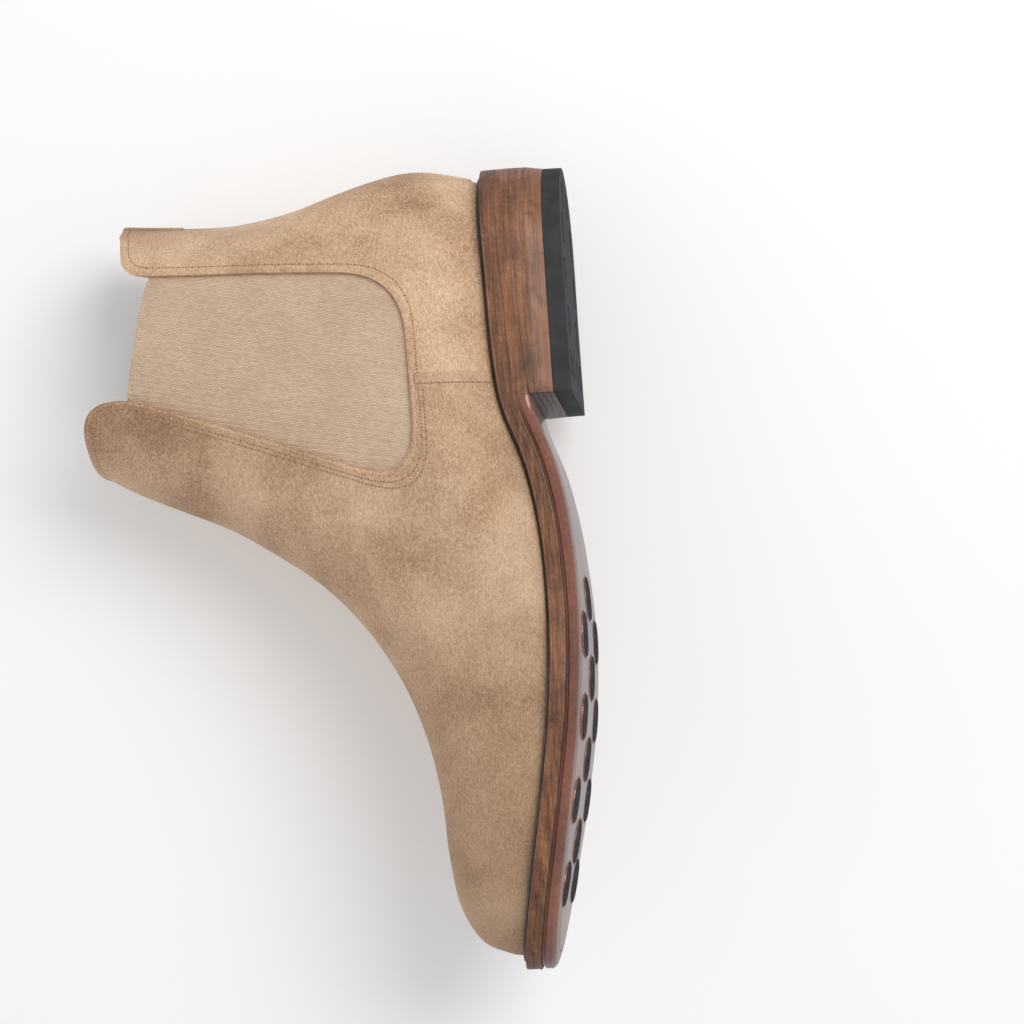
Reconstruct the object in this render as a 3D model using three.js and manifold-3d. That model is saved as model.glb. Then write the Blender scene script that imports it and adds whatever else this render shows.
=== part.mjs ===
// A right-foot suede chelsea boot: welted leather bottom unit, stacked heel, studded forepart,
// two-piece suede upper with an elastic gore on each side, lining, stiffeners and insole.
// Millimetres. +X points to the toe, +Y to the inner (medial) side of the foot, +Z up.
// While it is built, x = 0 is the back of the heel, y = 0 the middle plane and z = 0 the ground.
import * as THREE from 'three';
import Module from 'manifold-3d';
import { mergeVertices } from 'three/addons/utils/BufferGeometryUtils.js';

const wasm = await Module();
wasm.setup();

// ---------- driving dimensions ----------
const GAP = 0.3;                // clearance between touching pieces
const LENGTH = 303;             // back of the heel to the toe of the sole
const HEEL_HALF = 32;           // half widths of the sole
const BALL_HALF = { medial: 47, lateral: 51 };
const WAIST_HALF = { medial: 29, lateral: 37 };
const BALL_X = { medial: 205, lateral: 190 };
const WAIST_X = { medial: 122, lateral: 112 };
const HEEL_X = 48;              // where the heel sides run straight
const HEEL_ROUND = 35;          // length of the round back of the heel
const HEEL_LENGTH = 92;         // back of the heel to its straight breast

const SEAT_HEIGHT = 19;         // underside of the outsole at the back of the heel
const BREAST_HEIGHT = 15.2;     // underside of the outsole at the breast
const TREAD_X = 178;            // where the forepart touches the ground
const TOE_SPRING = 21;          // underside of the outsole at the toe tip
const CROWN = 1.2;              // how far the sole's edges stand above its middle
const OUTSOLE = 4.4;
const MIDSOLE = 2.8;
const WELT = 2.6;
const INSOLE = 3.0;
const SOCK = 1.2;

const TOP_LIFT = 6.6;           // rubber top piece of the heel
const LIFT = 1.9;               // one leather lift
const LIFTS = 3;
const TREAD_DEPTH = 1.6;        // slots in the rubber top piece

const STUD_RADIUS = 9;
const STUD_PIT = 2.4;
const STUD_PROUD = 0.6;         // how far a stud stands below the outsole
const STUD_PITCH = 30;
const STUD_ROW = 25;            // middle row to the side rows

const SUEDE = 1.6;
const ELASTIC = 1.5;            // gore, counter and puff
const LINING = 1.1;
const WELT_MARGIN = 5;          // how far the welt stands out from the upper
const BULGE = 1.03;             // how much wider the upper grows above the welt
const STRIP_HALF = 6.5;         // backstay
const TAB_HALF = 10;            // folded tab at the back of the collar

const RAND = 1.4;               // thickness of the bead in the welt's crease
const RAND_CLEAR = 0.9;         // the bead to the upper
const INSOLE_CLEAR = 1.4;       // the insole to the lining's foot
const TRIM = 1.2;               // backstay and tab
const TAB_DROP = 22;            // how far the tab hangs down from the collar
const COUNTER_HEIGHT = 92;      // top of the heel counter at the back
const PUFF_LENGTH = 62;         // toe puff, back from the sole's toe
const WELT_INNER = 11.3;        // the welt's inner edge, from the sole's edge
const FILLER_INSET = WELT_INNER + GAP;
const FILLER_X = 128;           // shank board behind, cork in front
const SHANK_FROM = 40;
const SHANK_TO = 118;
const SHANK_HALF = 7;
const SHANK_FLOOR = 0.8;        // board left under the shank
const HEEL_TAPER = 0.4;         // each heel layer is smaller than the one above by this much
const TREAD_SLOTS = [           // x, y, length, width; each has a twin on the other side
  [14, 9, 10, 4],
  [28, 17, 12, 5],
  [46, 20, 12, 5],
  [64, 17, 12, 5],
  [80, 20, 10, 5],
  [80, 8, 10, 4],
];

const GORE_TUCK = 6;            // how far a gore runs in under the suede
const LINING_LAP = 3.5;         // how far the lining stops short of the gore's hidden edge

// The sections below are drawn for a boot whose upper ends here, and stretch with its real size.
const DRAWN_TOE = 298;
const TOE_SHAPE = 60;
const HEEL_SHAPE = 70;
const DRAWN_FRONT = 185.5;
const DRAWN_BACK = 170;

const COLLAR_FRONT = 185.5;
const COLLAR_BACK = 170;

// Side view of the gore window, clockwise from its top back corner: x, z, corner radius. Its top hangs
// from the collar.
const WINDOW = [
  [36.5, COLLAR_BACK - 14, 0],
  [83.4, COLLAR_FRONT - 19.5, 0],
  [92.4, COLLAR_FRONT - 46.5, 24],
  [125, 57.4, 26],
  [43.9, 60, 24],
];
const SIDE_SEAM_X = 83;         // vamp to quarter below the gore

// Cross sections of the upper from toe to collar. Each one joins a point on the sole or on the back
// line (ox, oz) to a point on the front line (fx, fz). belly is how far along it is widest, wm and wl
// are its half widths there, and power is how square it is. Sections with no oz stand on the welt.
const SECTIONS = [
  { ox: 297.5, fx: 297.2, fz: 37, belly: 0.15, power: 2.2 },
  { ox: 291.5, fx: 292, fz: 47.6, belly: 0.15, power: 2.3 },
  { ox: 279, fx: 279.5, fz: 55, belly: 0.15, power: 2.4 },
  { ox: 260, fx: 260, fz: 58.4, belly: 0.14, power: 2.4 },
  { ox: 238, fx: 238, fz: 60, belly: 0.14, power: 2.3 },
  { ox: 215, fx: 215, fz: 64.6, belly: 0.14, power: 2.2 },
  { ox: 192, fx: 193, fz: 73, belly: 0.14, power: 2.1 },
  { ox: 166, fx: 172, fz: 86, belly: 0.16, power: 2.1, wm: 43, wl: 47.5 },
  { ox: 136, fx: 155, fz: 101.5, belly: 0.22, power: 2.1, wm: 41, wl: 44.5 },
  { ox: 104, fx: 141.5, fz: 119.5, belly: 0.3, power: 2.1, wm: 40.5, wl: 42.5 },
  { ox: 70, fx: 131.5, fz: 135, belly: 0.38, power: 2.15, wm: 39, wl: 40 },
  { ox: 36, fx: 124, fz: 151, belly: 0.44, power: 2.2, wm: 38, wl: 38.5 },
  { ox: 6, fx: 119.3, fz: 161.5, belly: 0.48, power: 2.25, wm: 37.5, wl: 37.5 },
  { ox: -1, oz: 56, fx: 115.5, fz: 169.5, belly: 0.5, power: 2.25, wm: 37.5, wl: 37.5 },
  { ox: 2.5, oz: 78, fx: 112, fz: 176, belly: 0.5, power: 2.2, wm: 38, wl: 38 },
  { ox: 10.3, oz: 103, fx: 108.5, fz: 182, belly: 0.5, power: 2.2, wm: 38, wl: 38 },
  { ox: 14.2, oz: 128, fx: 105.5, fz: 188, belly: 0.5, power: 2.2, wm: 37.5, wl: 37.5 },
  { ox: 13, oz: 152, fx: 101.5, fz: 196, belly: 0.5, power: 2.15, wm: 36.5, wl: 36.5 },
  { ox: 10.5, oz: 176, fx: 96, fz: 207, belly: 0.5, power: 2.1, wm: 36, wl: 36 },
];
const CORNER = 12;              // the section at the back of the heel seat
const BALL = 6;                 // the last section whose width follows the sole

const STATION = 12;             // facets along the plates and round their ends
const TIP_STEPS = [0, 0.4, 1.6, 4, 8];

const COLOURS = {
  suede: 0xb08d68,
  elastic: 0xab9474,
  lining: 0xc48b58,
  board: 0x9a7a58,
  sock: 0x8c6548,
  edge: 0x6b4631,
  sole: 0x7a3a22,
  cork: 0x8a6a48,
  steel: 0x9a9ca0,
  rubber: 0x2a2a2d,
};

// ---------- curves ----------
const clamp = (value, low, high) => Math.min(high, Math.max(low, value));
const mix = (a, b, k) => a + (b - a) * k;
const ease = (k) => clamp(k, 0, 1) ** 2 * (3 - 2 * clamp(k, 0, 1));

// A smooth curve z(x) through points with rising x.
function profile(points) {
  const slope = points.map((p, i) => {
    const a = points[Math.max(i - 1, 0)];
    const b = points[Math.min(i + 1, points.length - 1)];
    return (b[1] - a[1]) / (b[0] - a[0]);
  });
  return (x) => {
    const next = points.findIndex((p) => p[0] > x);
    const i = next < 0 ? points.length - 2 : Math.max(next - 1, 0);
    const [x0, z0] = points[i];
    const [x1, z1] = points[i + 1];
    const h = x1 - x0;
    const k = clamp((x - x0) / h, 0, 1);
    const bend = slope[i] * h * k * (1 - k) ** 2 - slope[i + 1] * h * k ** 2 * (1 - k);
    return mix(z0, z1, ease(k)) + bend;
  };
}

const FOREPART_LIFT = STUD_PROUD + GAP;

const soleBottom = profile([
  [0, SEAT_HEIGHT],
  [45, mix(SEAT_HEIGHT, BREAST_HEIGHT, 0.35)],
  [HEEL_LENGTH, BREAST_HEIGHT],
  [mix(HEEL_LENGTH, TREAD_X, 0.3), BREAST_HEIGHT * 0.48],
  [mix(HEEL_LENGTH, TREAD_X, 0.6), FOREPART_LIFT + BREAST_HEIGHT * 0.13],
  [TREAD_X, FOREPART_LIFT],
  [mix(TREAD_X, LENGTH, 0.25), TOE_SPRING * 0.13],
  [mix(TREAD_X, LENGTH, 0.5), TOE_SPRING * 0.37],
  [mix(TREAD_X, LENGTH, 0.75), TOE_SPRING * 0.68],
  [LENGTH, TOE_SPRING],
]);

// Heights of the bottom unit's layers, at the middle of the sole.
const outsoleTop = (x) => soleBottom(x) + OUTSOLE + CROWN;
const midsoleBottom = (x) => outsoleTop(x) + GAP;
const midsoleTop = (x) => midsoleBottom(x) + MIDSOLE;
const weltBottom = (x) => midsoleTop(x) + GAP;
const weltTop = (x) => weltBottom(x) + WELT;
const featherLine = (x) => weltTop(x) + GAP;

// Half width of the sole's outline on one side, drawn in by inset all round.
function halfWidth(x, side, inset) {
  const ball = BALL_HALF[side];
  const waist = WAIST_HALF[side];
  const toWaist = ease((x - HEEL_X) / (WAIST_X[side] - HEEL_X));
  const toBall = ease((x - WAIST_X[side]) / (BALL_X[side] - WAIST_X[side]));
  const body = mix(mix(HEEL_HALF, waist, toWaist), ball, toBall) - inset;
  const heelRun = clamp((x - inset) / (HEEL_ROUND - inset), 0, 1);
  const toeRun = clamp((LENGTH - inset - x) / (LENGTH - inset - BALL_X[side]), 0, 1);
  return body * Math.sqrt(1 - (1 - heelRun) ** 2) * Math.sqrt(1 - (1 - toeRun) ** 2);
}

// ---------- solids ----------
function solidOf(geometry) {
  const bare = geometry.index ? geometry.toNonIndexed() : geometry;
  const points = new THREE.BufferGeometry();
  points.setAttribute('position', bare.getAttribute('position'));
  const merged = mergeVertices(points, 1e-4);
  const vertProperties = new Float32Array(merged.getAttribute('position').array);
  const corners = [];
  const index = merged.index.array;
  for (let i = 0; i < index.length; i += 3) {
    const [a, b, c] = [index[i], index[i + 1], index[i + 2]];
    if (a !== b && b !== c && a !== c) corners.push(a, b, c);
  }
  const triVerts = new Uint32Array(corners);
  return new wasm.Manifold(new wasm.Mesh({ numProp: 3, vertProperties, triVerts }));
}

function geometryOf(solid) {
  const mesh = solid.getMesh();
  const geometry = new THREE.BufferGeometry();
  geometry.setAttribute('position', new THREE.BufferAttribute(new Float32Array(mesh.vertProperties), 3));
  geometry.setIndex(new THREE.BufferAttribute(new Uint32Array(mesh.triVerts), 1));
  geometry.computeVertexNormals();
  return geometry;
}

// Collects quads of [x, y, z] points into a geometry.
class Skin {
  constructor() {
    this.points = [];
  }

  quad(a, b, c, d) {
    this.points.push(...a, ...b, ...c, ...a, ...c, ...d);
  }

  // Six times the volume inside, which is negative when the skin is inside out.
  volume() {
    const corner = (i) => new THREE.Vector3(...this.points.slice(3 * i, 3 * i + 3));
    let total = 0;
    for (let i = 0; i < this.points.length / 3; i += 3) {
      total += corner(i).dot(corner(i + 1).cross(corner(i + 2)));
    }
    return total;
  }

  turned() {
    const points = [];
    for (let i = 0; i < this.points.length; i += 9) {
      const [a, b, c] = [0, 3, 6].map((k) => this.points.slice(i + k, i + k + 3));
      points.push(...a, ...c, ...b);
    }
    return points;
  }

  geometry() {
    const points = this.volume() < 0 ? this.turned() : this.points;
    const geometry = new THREE.BufferGeometry();
    geometry.setAttribute('position', new THREE.Float32BufferAttribute(points, 3));
    return geometry;
  }
}

// A bar along Y whose side view is the outline: points of x, z and corner radius.
function bar(outline, yFrom = -80, yTo = 80) {
  const shape = new THREE.Shape();
  const count = outline.length;
  outline.forEach(([x, z, radius], i) => {
    const corner = new THREE.Vector2(x, z);
    const before = new THREE.Vector2(...outline[(i + count - 1) % count]);
    const after = new THREE.Vector2(...outline[(i + 1) % count]);
    const into = corner.clone().add(before.sub(corner).setLength(radius));
    const out = corner.clone().add(after.sub(corner).setLength(radius));
    if (i === 0) shape.moveTo(into.x, into.y);
    else shape.lineTo(into.x, into.y);
    if (radius > 0) shape.quadraticCurveTo(x, z, out.x, out.y);
  });
  const geometry = new THREE.ExtrudeGeometry(shape, {
    depth: yTo - yFrom,
    bevelEnabled: false,
    curveSegments: 5,
  });
  geometry.rotateX(Math.PI / 2);
  geometry.translate(0, yTo, 0);
  return solidOf(geometry);
}

function block(xFrom, xTo, yFrom, yTo, zFrom, zTo) {
  const geometry = new THREE.BoxGeometry(xTo - xFrom, yTo - yFrom, zTo - zFrom);
  geometry.translate((xFrom + xTo) / 2, (yFrom + yTo) / 2, (zFrom + zTo) / 2);
  return solidOf(geometry);
}

// ---------- bottom unit ----------
const across = (y) => CROWN * (y / BALL_HALF.lateral) ** 2;

// Places along a plate. All plates share the ones in their middle, so that their faces run level
// with each other, and a round end has more.
function stations(from, to, straightBack, straightFront) {
  const back = straightBack ? [0] : TIP_STEPS;
  const front = straightFront ? [0] : TIP_STEPS;
  const lowest = from + back.at(-1) + 1;
  const highest = to - front.at(-1) - 1;
  const middle = [];
  for (let x = Math.ceil(lowest / STATION) * STATION; x < highest; x += STATION) middle.push(x);
  return [...back.map((step) => from + step), ...middle, ...front.map((step) => to - step).reverse()];
}

// A plate with the sole's outline. low and high give the heights of its faces from x and y. A plate
// that stops short of the round heel or toe has a straight end there.
function plate({ inset, low, high, from = inset, to = LENGTH - inset, strips = 2 }) {
  const straightBack = from > inset;
  const straightFront = to < LENGTH - inset;
  const places = stations(from, to, straightBack, straightFront);
  const rows = places.length - 1;
  const at = (i, j, height) => {
    const x = places[i];
    const place = 2 * j / strips - 1;
    const y = place * halfWidth(x, place < 0 ? 'lateral' : 'medial', inset);
    return [x, y, height(x, y)];
  };
  const skin = new Skin();
  for (let i = 0; i < rows; i += 1) {
    for (let j = 0; j < strips; j += 1) {
      skin.quad(at(i, j, high), at(i + 1, j, high), at(i + 1, j + 1, high), at(i, j + 1, high));
      skin.quad(at(i, j, low), at(i, j + 1, low), at(i + 1, j + 1, low), at(i + 1, j, low));
    }
    skin.quad(at(i, 0, low), at(i + 1, 0, low), at(i + 1, 0, high), at(i, 0, high));
    skin.quad(at(i, strips, low), at(i, strips, high), at(i + 1, strips, high), at(i + 1, strips, low));
  }
  for (let j = 0; j < strips; j += 1) {
    if (straightBack) skin.quad(at(0, j, low), at(0, j, high), at(0, j + 1, high), at(0, j + 1, low));
    if (straightFront) {
      skin.quad(at(rows, j, low), at(rows, j + 1, low), at(rows, j + 1, high), at(rows, j, high));
    }
  }
  return solidOf(skin.geometry());
}

function studPlaces() {
  const places = [];
  const start = TREAD_X - STUD_PITCH / 2 + 4;
  for (let i = 0; i < 4; i += 1) {
    const x = start + i * STUD_PITCH;
    const drawIn = i === 3 ? 0.7 : 1;
    places.push([x, 0]);
    places.push([x + STUD_PITCH / 2, STUD_ROW * drawIn]);
    places.push([x + STUD_PITCH / 2, -STUD_ROW * drawIn]);
  }
  return places;
}

// A disc square to the sole's underside, from below mm under it to above mm inside it.
function disc([x, y], radius, below, above) {
  const geometry = new THREE.CylinderGeometry(radius, radius, below + above, 20);
  geometry.rotateX(Math.PI / 2);
  geometry.translate(0, 0, (above - below) / 2);
  geometry.rotateY(-Math.atan((soleBottom(x + 1) - soleBottom(x - 1)) / 2));
  geometry.translate(x, y, soleBottom(x) + across(y));
  return solidOf(geometry);
}

function outsole() {
  const low = (x, y) => soleBottom(x) + across(y);
  const blank = plate({ inset: 0, low, high: outsoleTop, strips: 4 });
  return studPlaces().reduce(
    (sole, place) => sole.subtract(disc(place, STUD_RADIUS, 4, STUD_PIT)),
    blank,
  );
}

// Runs under the edge of the upper all the way round, with the filler and shank inside it.
function welt() {
  const blank = plate({ inset: 0, low: weltBottom, high: weltTop });
  const low = (x) => weltBottom(x) - 2;
  const high = (x) => weltTop(x) + 2;
  return blank.subtract(plate({ inset: WELT_INNER, low, high }));
}

// The dark bead in the crease between the welt and the upper, which it follows all round.
function rand() {
  const slice = plate({ inset: 0, low: featherLine, high: (x) => featherLine(x) + RAND });
  return shell(-RAND_CLEAR - RAND, -RAND_CLEAR).intersect(slice);
}

const shankBox = (extra) => block(
  SHANK_FROM - extra, SHANK_TO + extra, -SHANK_HALF - extra, SHANK_HALF + extra, 0, 60,
);

function steelShank() {
  const low = (x) => weltBottom(x) + SHANK_FLOOR + GAP;
  const high = (x) => weltTop(x) - GAP;
  return plate({ inset: FILLER_INSET, low, high, to: FILLER_X }).intersect(shankBox(0));
}

function shankBoard() {
  const slotFloor = (x) => weltBottom(x) + SHANK_FLOOR;
  const slotTop = (x) => weltTop(x) + 2;
  const slot = plate({ inset: FILLER_INSET, low: slotFloor, high: slotTop, to: FILLER_X });
  const board = plate({ inset: FILLER_INSET, low: weltBottom, high: weltTop, to: FILLER_X - GAP });
  return board.subtract(slot.intersect(shankBox(GAP)));
}

function heelLayer(number, low, high) {
  const inset = HEEL_TAPER * number;
  return plate({ inset, low, high, to: HEEL_LENGTH });
}

const liftFloor = (number) => TOP_LIFT + GAP + number * (LIFT + GAP);

function heelWedge() {
  const low = () => liftFloor(LIFTS);
  return heelLayer(0, low, (x) => soleBottom(x) - GAP);
}

function topLift() {
  const blank = heelLayer(LIFTS + 1, () => 0, () => TOP_LIFT);
  const slot = (x, y, long, wide) => (
    block(x - long / 2, x + long / 2, y - wide / 2, y + wide / 2, -1, TREAD_DEPTH)
  );
  return TREAD_SLOTS.reduce((piece, [x, y, long, wide]) => (
    piece.subtract(slot(x, y, long, wide)).subtract(slot(x, -y, long, wide))
  ), blank);
}

// ---------- upper ----------
const lastSection = SECTIONS.length - 1;
const toeFeather = LENGTH - WELT_MARGIN;
// The toe and the heel keep their shape, and what lies between them stretches.
const stretchX = (x) => {
  const between = clamp((x - HEEL_SHAPE) / (DRAWN_TOE - TOE_SHAPE - HEEL_SHAPE), 0, 1);
  return x + (toeFeather - DRAWN_TOE) * between;
};
const stretchZ = (z) => z * Math.max(COLLAR_FRONT / DRAWN_FRONT, COLLAR_BACK / DRAWN_BACK);

const frontLine = new THREE.CatmullRomCurve3(
  SECTIONS.map((s) => new THREE.Vector3(stretchX(s.fx), 0, stretchZ(s.fz))),
);
const footX = (i) => (i === 0 ? toeFeather : i === CORNER ? WELT_MARGIN : stretchX(SECTIONS[i].ox));
const footLine = profile(SECTIONS.slice(0, CORNER + 1).map((s, i) => [i, footX(i)]));
const heelFoot = new THREE.Vector3(WELT_MARGIN, 0, featherLine(WELT_MARGIN));
const backLine = new THREE.CatmullRomCurve3(SECTIONS.slice(CORNER).map((s) => (
  s.oz ? new THREE.Vector3(s.ox, 0, stretchZ(s.oz)) : heelFoot
)));
const bellyLine = profile(SECTIONS.map((s, i) => [i, s.belly]));
const squareness = profile(SECTIONS.map((s, i) => [i, s.power]));

function widthCurve(side) {
  const key = side === 'medial' ? 'wm' : 'wl';
  const ball = halfWidth(stretchX(SECTIONS[BALL].ox), side, WELT_MARGIN) * BULGE;
  return profile(SECTIONS.slice(BALL).map((s, i) => [BALL + i, s[key] ?? ball]));
}
const widthOf = { medial: widthCurve('medial'), lateral: widthCurve('lateral') };

// A section's two ends, which lie in the middle plane.
function sectionEnds(u) {
  const front = frontLine.getPoint(u / lastSection);
  if (u > CORNER) return { front, outer: backLine.getPoint((u - CORNER) / (lastSection - CORNER)) };
  const x = footLine(u);
  return { front, outer: new THREE.Vector3(x, 0, featherLine(x)) };
}

// A point of the upper's outer face: u picks the section, share runs from the sole or back line, 0,
// to the front line, 1. A section is two quarters of superellipses that meet where it is widest, and
// the lower one is cut where it meets the welt.
function facePoint(u, side, share) {
  const { front, outer } = sectionEnds(u);
  const foot = u < CORNER ? halfWidth(outer.x, side, WELT_MARGIN) : 0;
  const wide = u <= BALL ? foot * BULGE : widthOf[side](u);
  const power = 2 / squareness(u);
  const belly = bellyLine(u);
  const meet = wide > 1e-6 ? clamp(foot / wide, 0, 1 / BULGE) : 1 / BULGE;
  const below = Math.acos(meet ** (1 / power));
  const low = share < belly;
  const angle = low ? below * (1 - share / belly) : (share - belly) / (1 - belly) * Math.PI / 2;
  const reach = low ? -belly / Math.sin(below) ** power : 1 - belly;
  const y = share === 1 ? 0 : wide * Math.max(Math.cos(angle), 0) ** power;
  const point = outer.lerp(front, belly + reach * Math.sin(angle) ** power);
  point.y = side === 'medial' ? y : -y;
  return point;
}

// The same point drawn in square to the face by inset.
function upperPoint(u, side, share, inset) {
  const step = 0.02;
  const alongU = facePoint(Math.min(u + step, lastSection), side, share);
  alongU.sub(facePoint(Math.max(u - step, 0), side, share));
  const alongShare = facePoint(u, side, Math.min(share + step, 1));
  alongShare.sub(facePoint(u, side, Math.max(share - step, 0)));
  const normal = alongU.cross(alongShare);
  if (side === 'lateral') normal.negate();
  if (u === 0) normal.set(1, 0, 0);
  else if (share === 1) normal.copy(frontNormal(u));
  else if (share === 0 && u >= CORNER) normal.copy(backNormal(u));
  const point = facePoint(u, side, share);
  return point.addScaledVector(normal.normalize(), -inset).toArray();
}

function frontNormal(u) {
  const along = frontLine.getTangent(u / lastSection);
  return new THREE.Vector3(along.z, 0, -along.x);
}

function backNormal(u) {
  const along = backLine.getTangent((u - CORNER) / (lastSection - CORNER));
  return new THREE.Vector3(-along.z, 0, along.x);
}

// Section numbers at which a shell is built, closer together round the toe and the heel.
function shellRows() {
  const rows = [];
  const ends = 4;
  for (let i = 0; i < ends; i += 1) rows.push((i / ends) ** 2);
  for (let i = 1; i < CORNER; i += 1) rows.push(i);
  for (let i = 1; i < ends; i += 1) rows.push(CORNER - (1 - i / ends) ** 2);
  for (let i = CORNER; i <= lastSection; i += 1) rows.push(i);
  return rows;
}

// The upper's shape between two insets, open at the collar and along the welt. It starts a little
// below the welt's top and is cut there.
const FOOT_DIP = 3;
function shell(outside, inside, columns = 8) {
  const rows = shellRows();
  const at = (i, j, inset) => {
    const side = j <= columns ? 'lateral' : 'medial';
    const share = j <= columns ? j / columns : 2 - j / columns;
    const [x, y, z] = upperPoint(rows[i], side, share, inset);
    return [x, y, share === 0 && rows[i] < CORNER ? z - FOOT_DIP : z];
  };
  const skin = new Skin();
  const across = 2 * columns;
  for (let i = 0; i < rows.length - 1; i += 1) {
    for (let j = 0; j < across; j += 1) {
      const first = at(i, j, outside);
      skin.quad(first, at(i + 1, j, outside), at(i + 1, j + 1, outside), at(i, j + 1, outside));
      skin.quad(at(i, j, inside), at(i, j + 1, inside), at(i + 1, j + 1, inside), at(i + 1, j, inside));
    }
    if (rows[i] < CORNER) {
      skin.quad(at(i, 0, outside), at(i, 0, inside), at(i + 1, 0, inside), at(i + 1, 0, outside));
      const foot = [at(i, across, outside), at(i + 1, across, outside)];
      skin.quad(...foot, at(i + 1, across, inside), at(i, across, inside));
    }
  }
  const top = rows.length - 1;
  for (let j = 0; j < across; j += 1) {
    skin.quad(at(top, j, outside), at(top, j, inside), at(top, j + 1, inside), at(top, j + 1, outside));
  }
  const overWelt = plate({ inset: -15, low: featherLine, high: () => COLLAR_FRONT * 1.5 });
  return solidOf(skin.geometry()).intersect(overWelt);
}

const goreWindow = WINDOW.map(([x, z, radius]) => [stretchX(x), z, radius]);

// Moves each edge of a clockwise outline out by its own distance.
function grown(outline, distances) {
  const count = outline.length;
  const edges = outline.map(([x, z], i) => {
    const [nextX, nextZ] = outline[(i + 1) % count];
    const run = new THREE.Vector2(nextX - x, nextZ - z).normalize();
    const out = new THREE.Vector2(-run.y, run.x).multiplyScalar(distances[i]);
    return { run, start: new THREE.Vector2(x, z).add(out) };
  });
  return outline.map(([, , radius], i) => {
    const a = edges[(i + count - 1) % count];
    const b = edges[i];
    const step = b.start.clone().sub(a.start).cross(b.run) / a.run.cross(b.run);
    const corner = a.start.clone().addScaledVector(a.run, step);
    return [corner.x, corner.y, radius];
  });
}

const sideSeam = stretchX(SIDE_SEAM_X);
const [backTop, frontTop, frontBend, frontFoot, backFoot] = goreWindow;
const windowFloor = mix(backFoot[1], frontFoot[1], (sideSeam - backFoot[0]) / (frontFoot[0] - backFoot[0]));
const FAR = LENGTH + 40;
const LOW = -10;

const vampOutline = [
  [sideSeam + GAP / 2, LOW, 0],
  [sideSeam + GAP / 2, windowFloor, 0],
  frontFoot,
  frontBend,
  frontTop,
  [frontTop[0], COLLAR_FRONT, 14],
  [FAR, COLLAR_FRONT, 0],
  [FAR, LOW, 0],
];
const quarterOutline = [
  [sideSeam - GAP / 2, LOW, 0],
  [-40, LOW, 0],
  [-40, COLLAR_BACK, 0],
  [backTop[0] - 24, COLLAR_BACK, 3],
  [backTop[0] - 1, backTop[1] + 10, 7],
  backTop,
  backFoot,
  [sideSeam - GAP / 2, windowFloor, 0],
];

// Depths of the upper's layers under its outer face.
const stiffOutside = SUEDE + GAP;
const stiffInside = stiffOutside + ELASTIC;
const liningOutside = stiffInside + GAP;
const liningInside = liningOutside + LINING;

// Everything on one side of the middle plane, and clear of it by a gap.
const SIDE_REACH = 90;
const HIGH = 300;
const halfSpace = (side, clear) => (side === 'medial'
  ? block(-FAR, FAR, clear, SIDE_REACH, LOW, HIGH)
  : block(-FAR, FAR, -SIDE_REACH, -clear, LOW, HIGH));
const suedeShell = shell(0, SUEDE);
const stiffShell = shell(stiffOutside, stiffInside);
const liningShell = shell(liningOutside, liningInside);

const vamp = () => suedeShell.intersect(bar(vampOutline));

function quarter(side) {
  return suedeShell.intersect(bar(quarterOutline)).intersect(halfSpace(side, GAP / 2));
}

function gore(side) {
  const outline = grown(goreWindow, [0, GORE_TUCK, GORE_TUCK, GORE_TUCK, GORE_TUCK]);
  return stiffShell.intersect(bar(outline)).intersect(halfSpace(side, 0));
}

function lining(outline) {
  const opening = grown(goreWindow, [GORE_TUCK, ...Array(4).fill(GORE_TUCK - LINING_LAP)]);
  return liningShell.intersect(bar(outline)).subtract(bar(opening));
}

function heelCounter() {
  const clear = GORE_TUCK + 2;
  const outline = [
    [sideSeam - 4, LOW, 0],
    [-40, LOW, 0],
    [-40, COUNTER_HEIGHT, 0],
    [backTop[0] - clear - 6, COUNTER_HEIGHT, 6],
    [backTop[0] - clear, backFoot[1] - clear, 10],
    [sideSeam - 8, frontFoot[1] - clear - 6, 6],
  ];
  return stiffShell.intersect(bar(outline));
}

function toePuff() {
  const start = LENGTH - PUFF_LENGTH;
  const outline = [[start, LOW, 0], [start - 6, COLLAR_FRONT, 0], [FAR, COLLAR_FRONT, 0], [FAR, LOW, 0]];
  return stiffShell.intersect(bar(outline));
}

function backstay() {
  const foot = featherLine(0) + RAND + 2;
  const strip = block(-40, HEEL_X, -STRIP_HALF, STRIP_HALF, foot, COLLAR_BACK - TAB_DROP - GAP);
  return shell(-GAP - TRIM, -GAP).intersect(strip);
}

// A strip folded over the back of the collar, outside the quarters and inside the lining.
function backTab() {
  const reach = [-40, HEEL_X, -TAB_HALF, TAB_HALF];
  const whole = shell(-GAP - TRIM, liningInside + GAP + TRIM);
  const held = shell(-GAP, liningInside + GAP);
  const fold = COLLAR_BACK + GAP;
  const tab = whole.intersect(block(...reach, COLLAR_BACK - TAB_DROP, fold + TRIM));
  return tab.subtract(held.intersect(block(...reach, 0, fold)));
}

// ---------- the boot ----------
const boot = new THREE.Group();

function add(name, solid, colour, roughness = 0.8, metalness = 0) {
  const material = new THREE.MeshStandardMaterial({ color: colour, roughness, metalness });
  const mesh = new THREE.Mesh(geometryOf(solid), material);
  mesh.name = name;
  boot.add(mesh);
}

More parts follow.
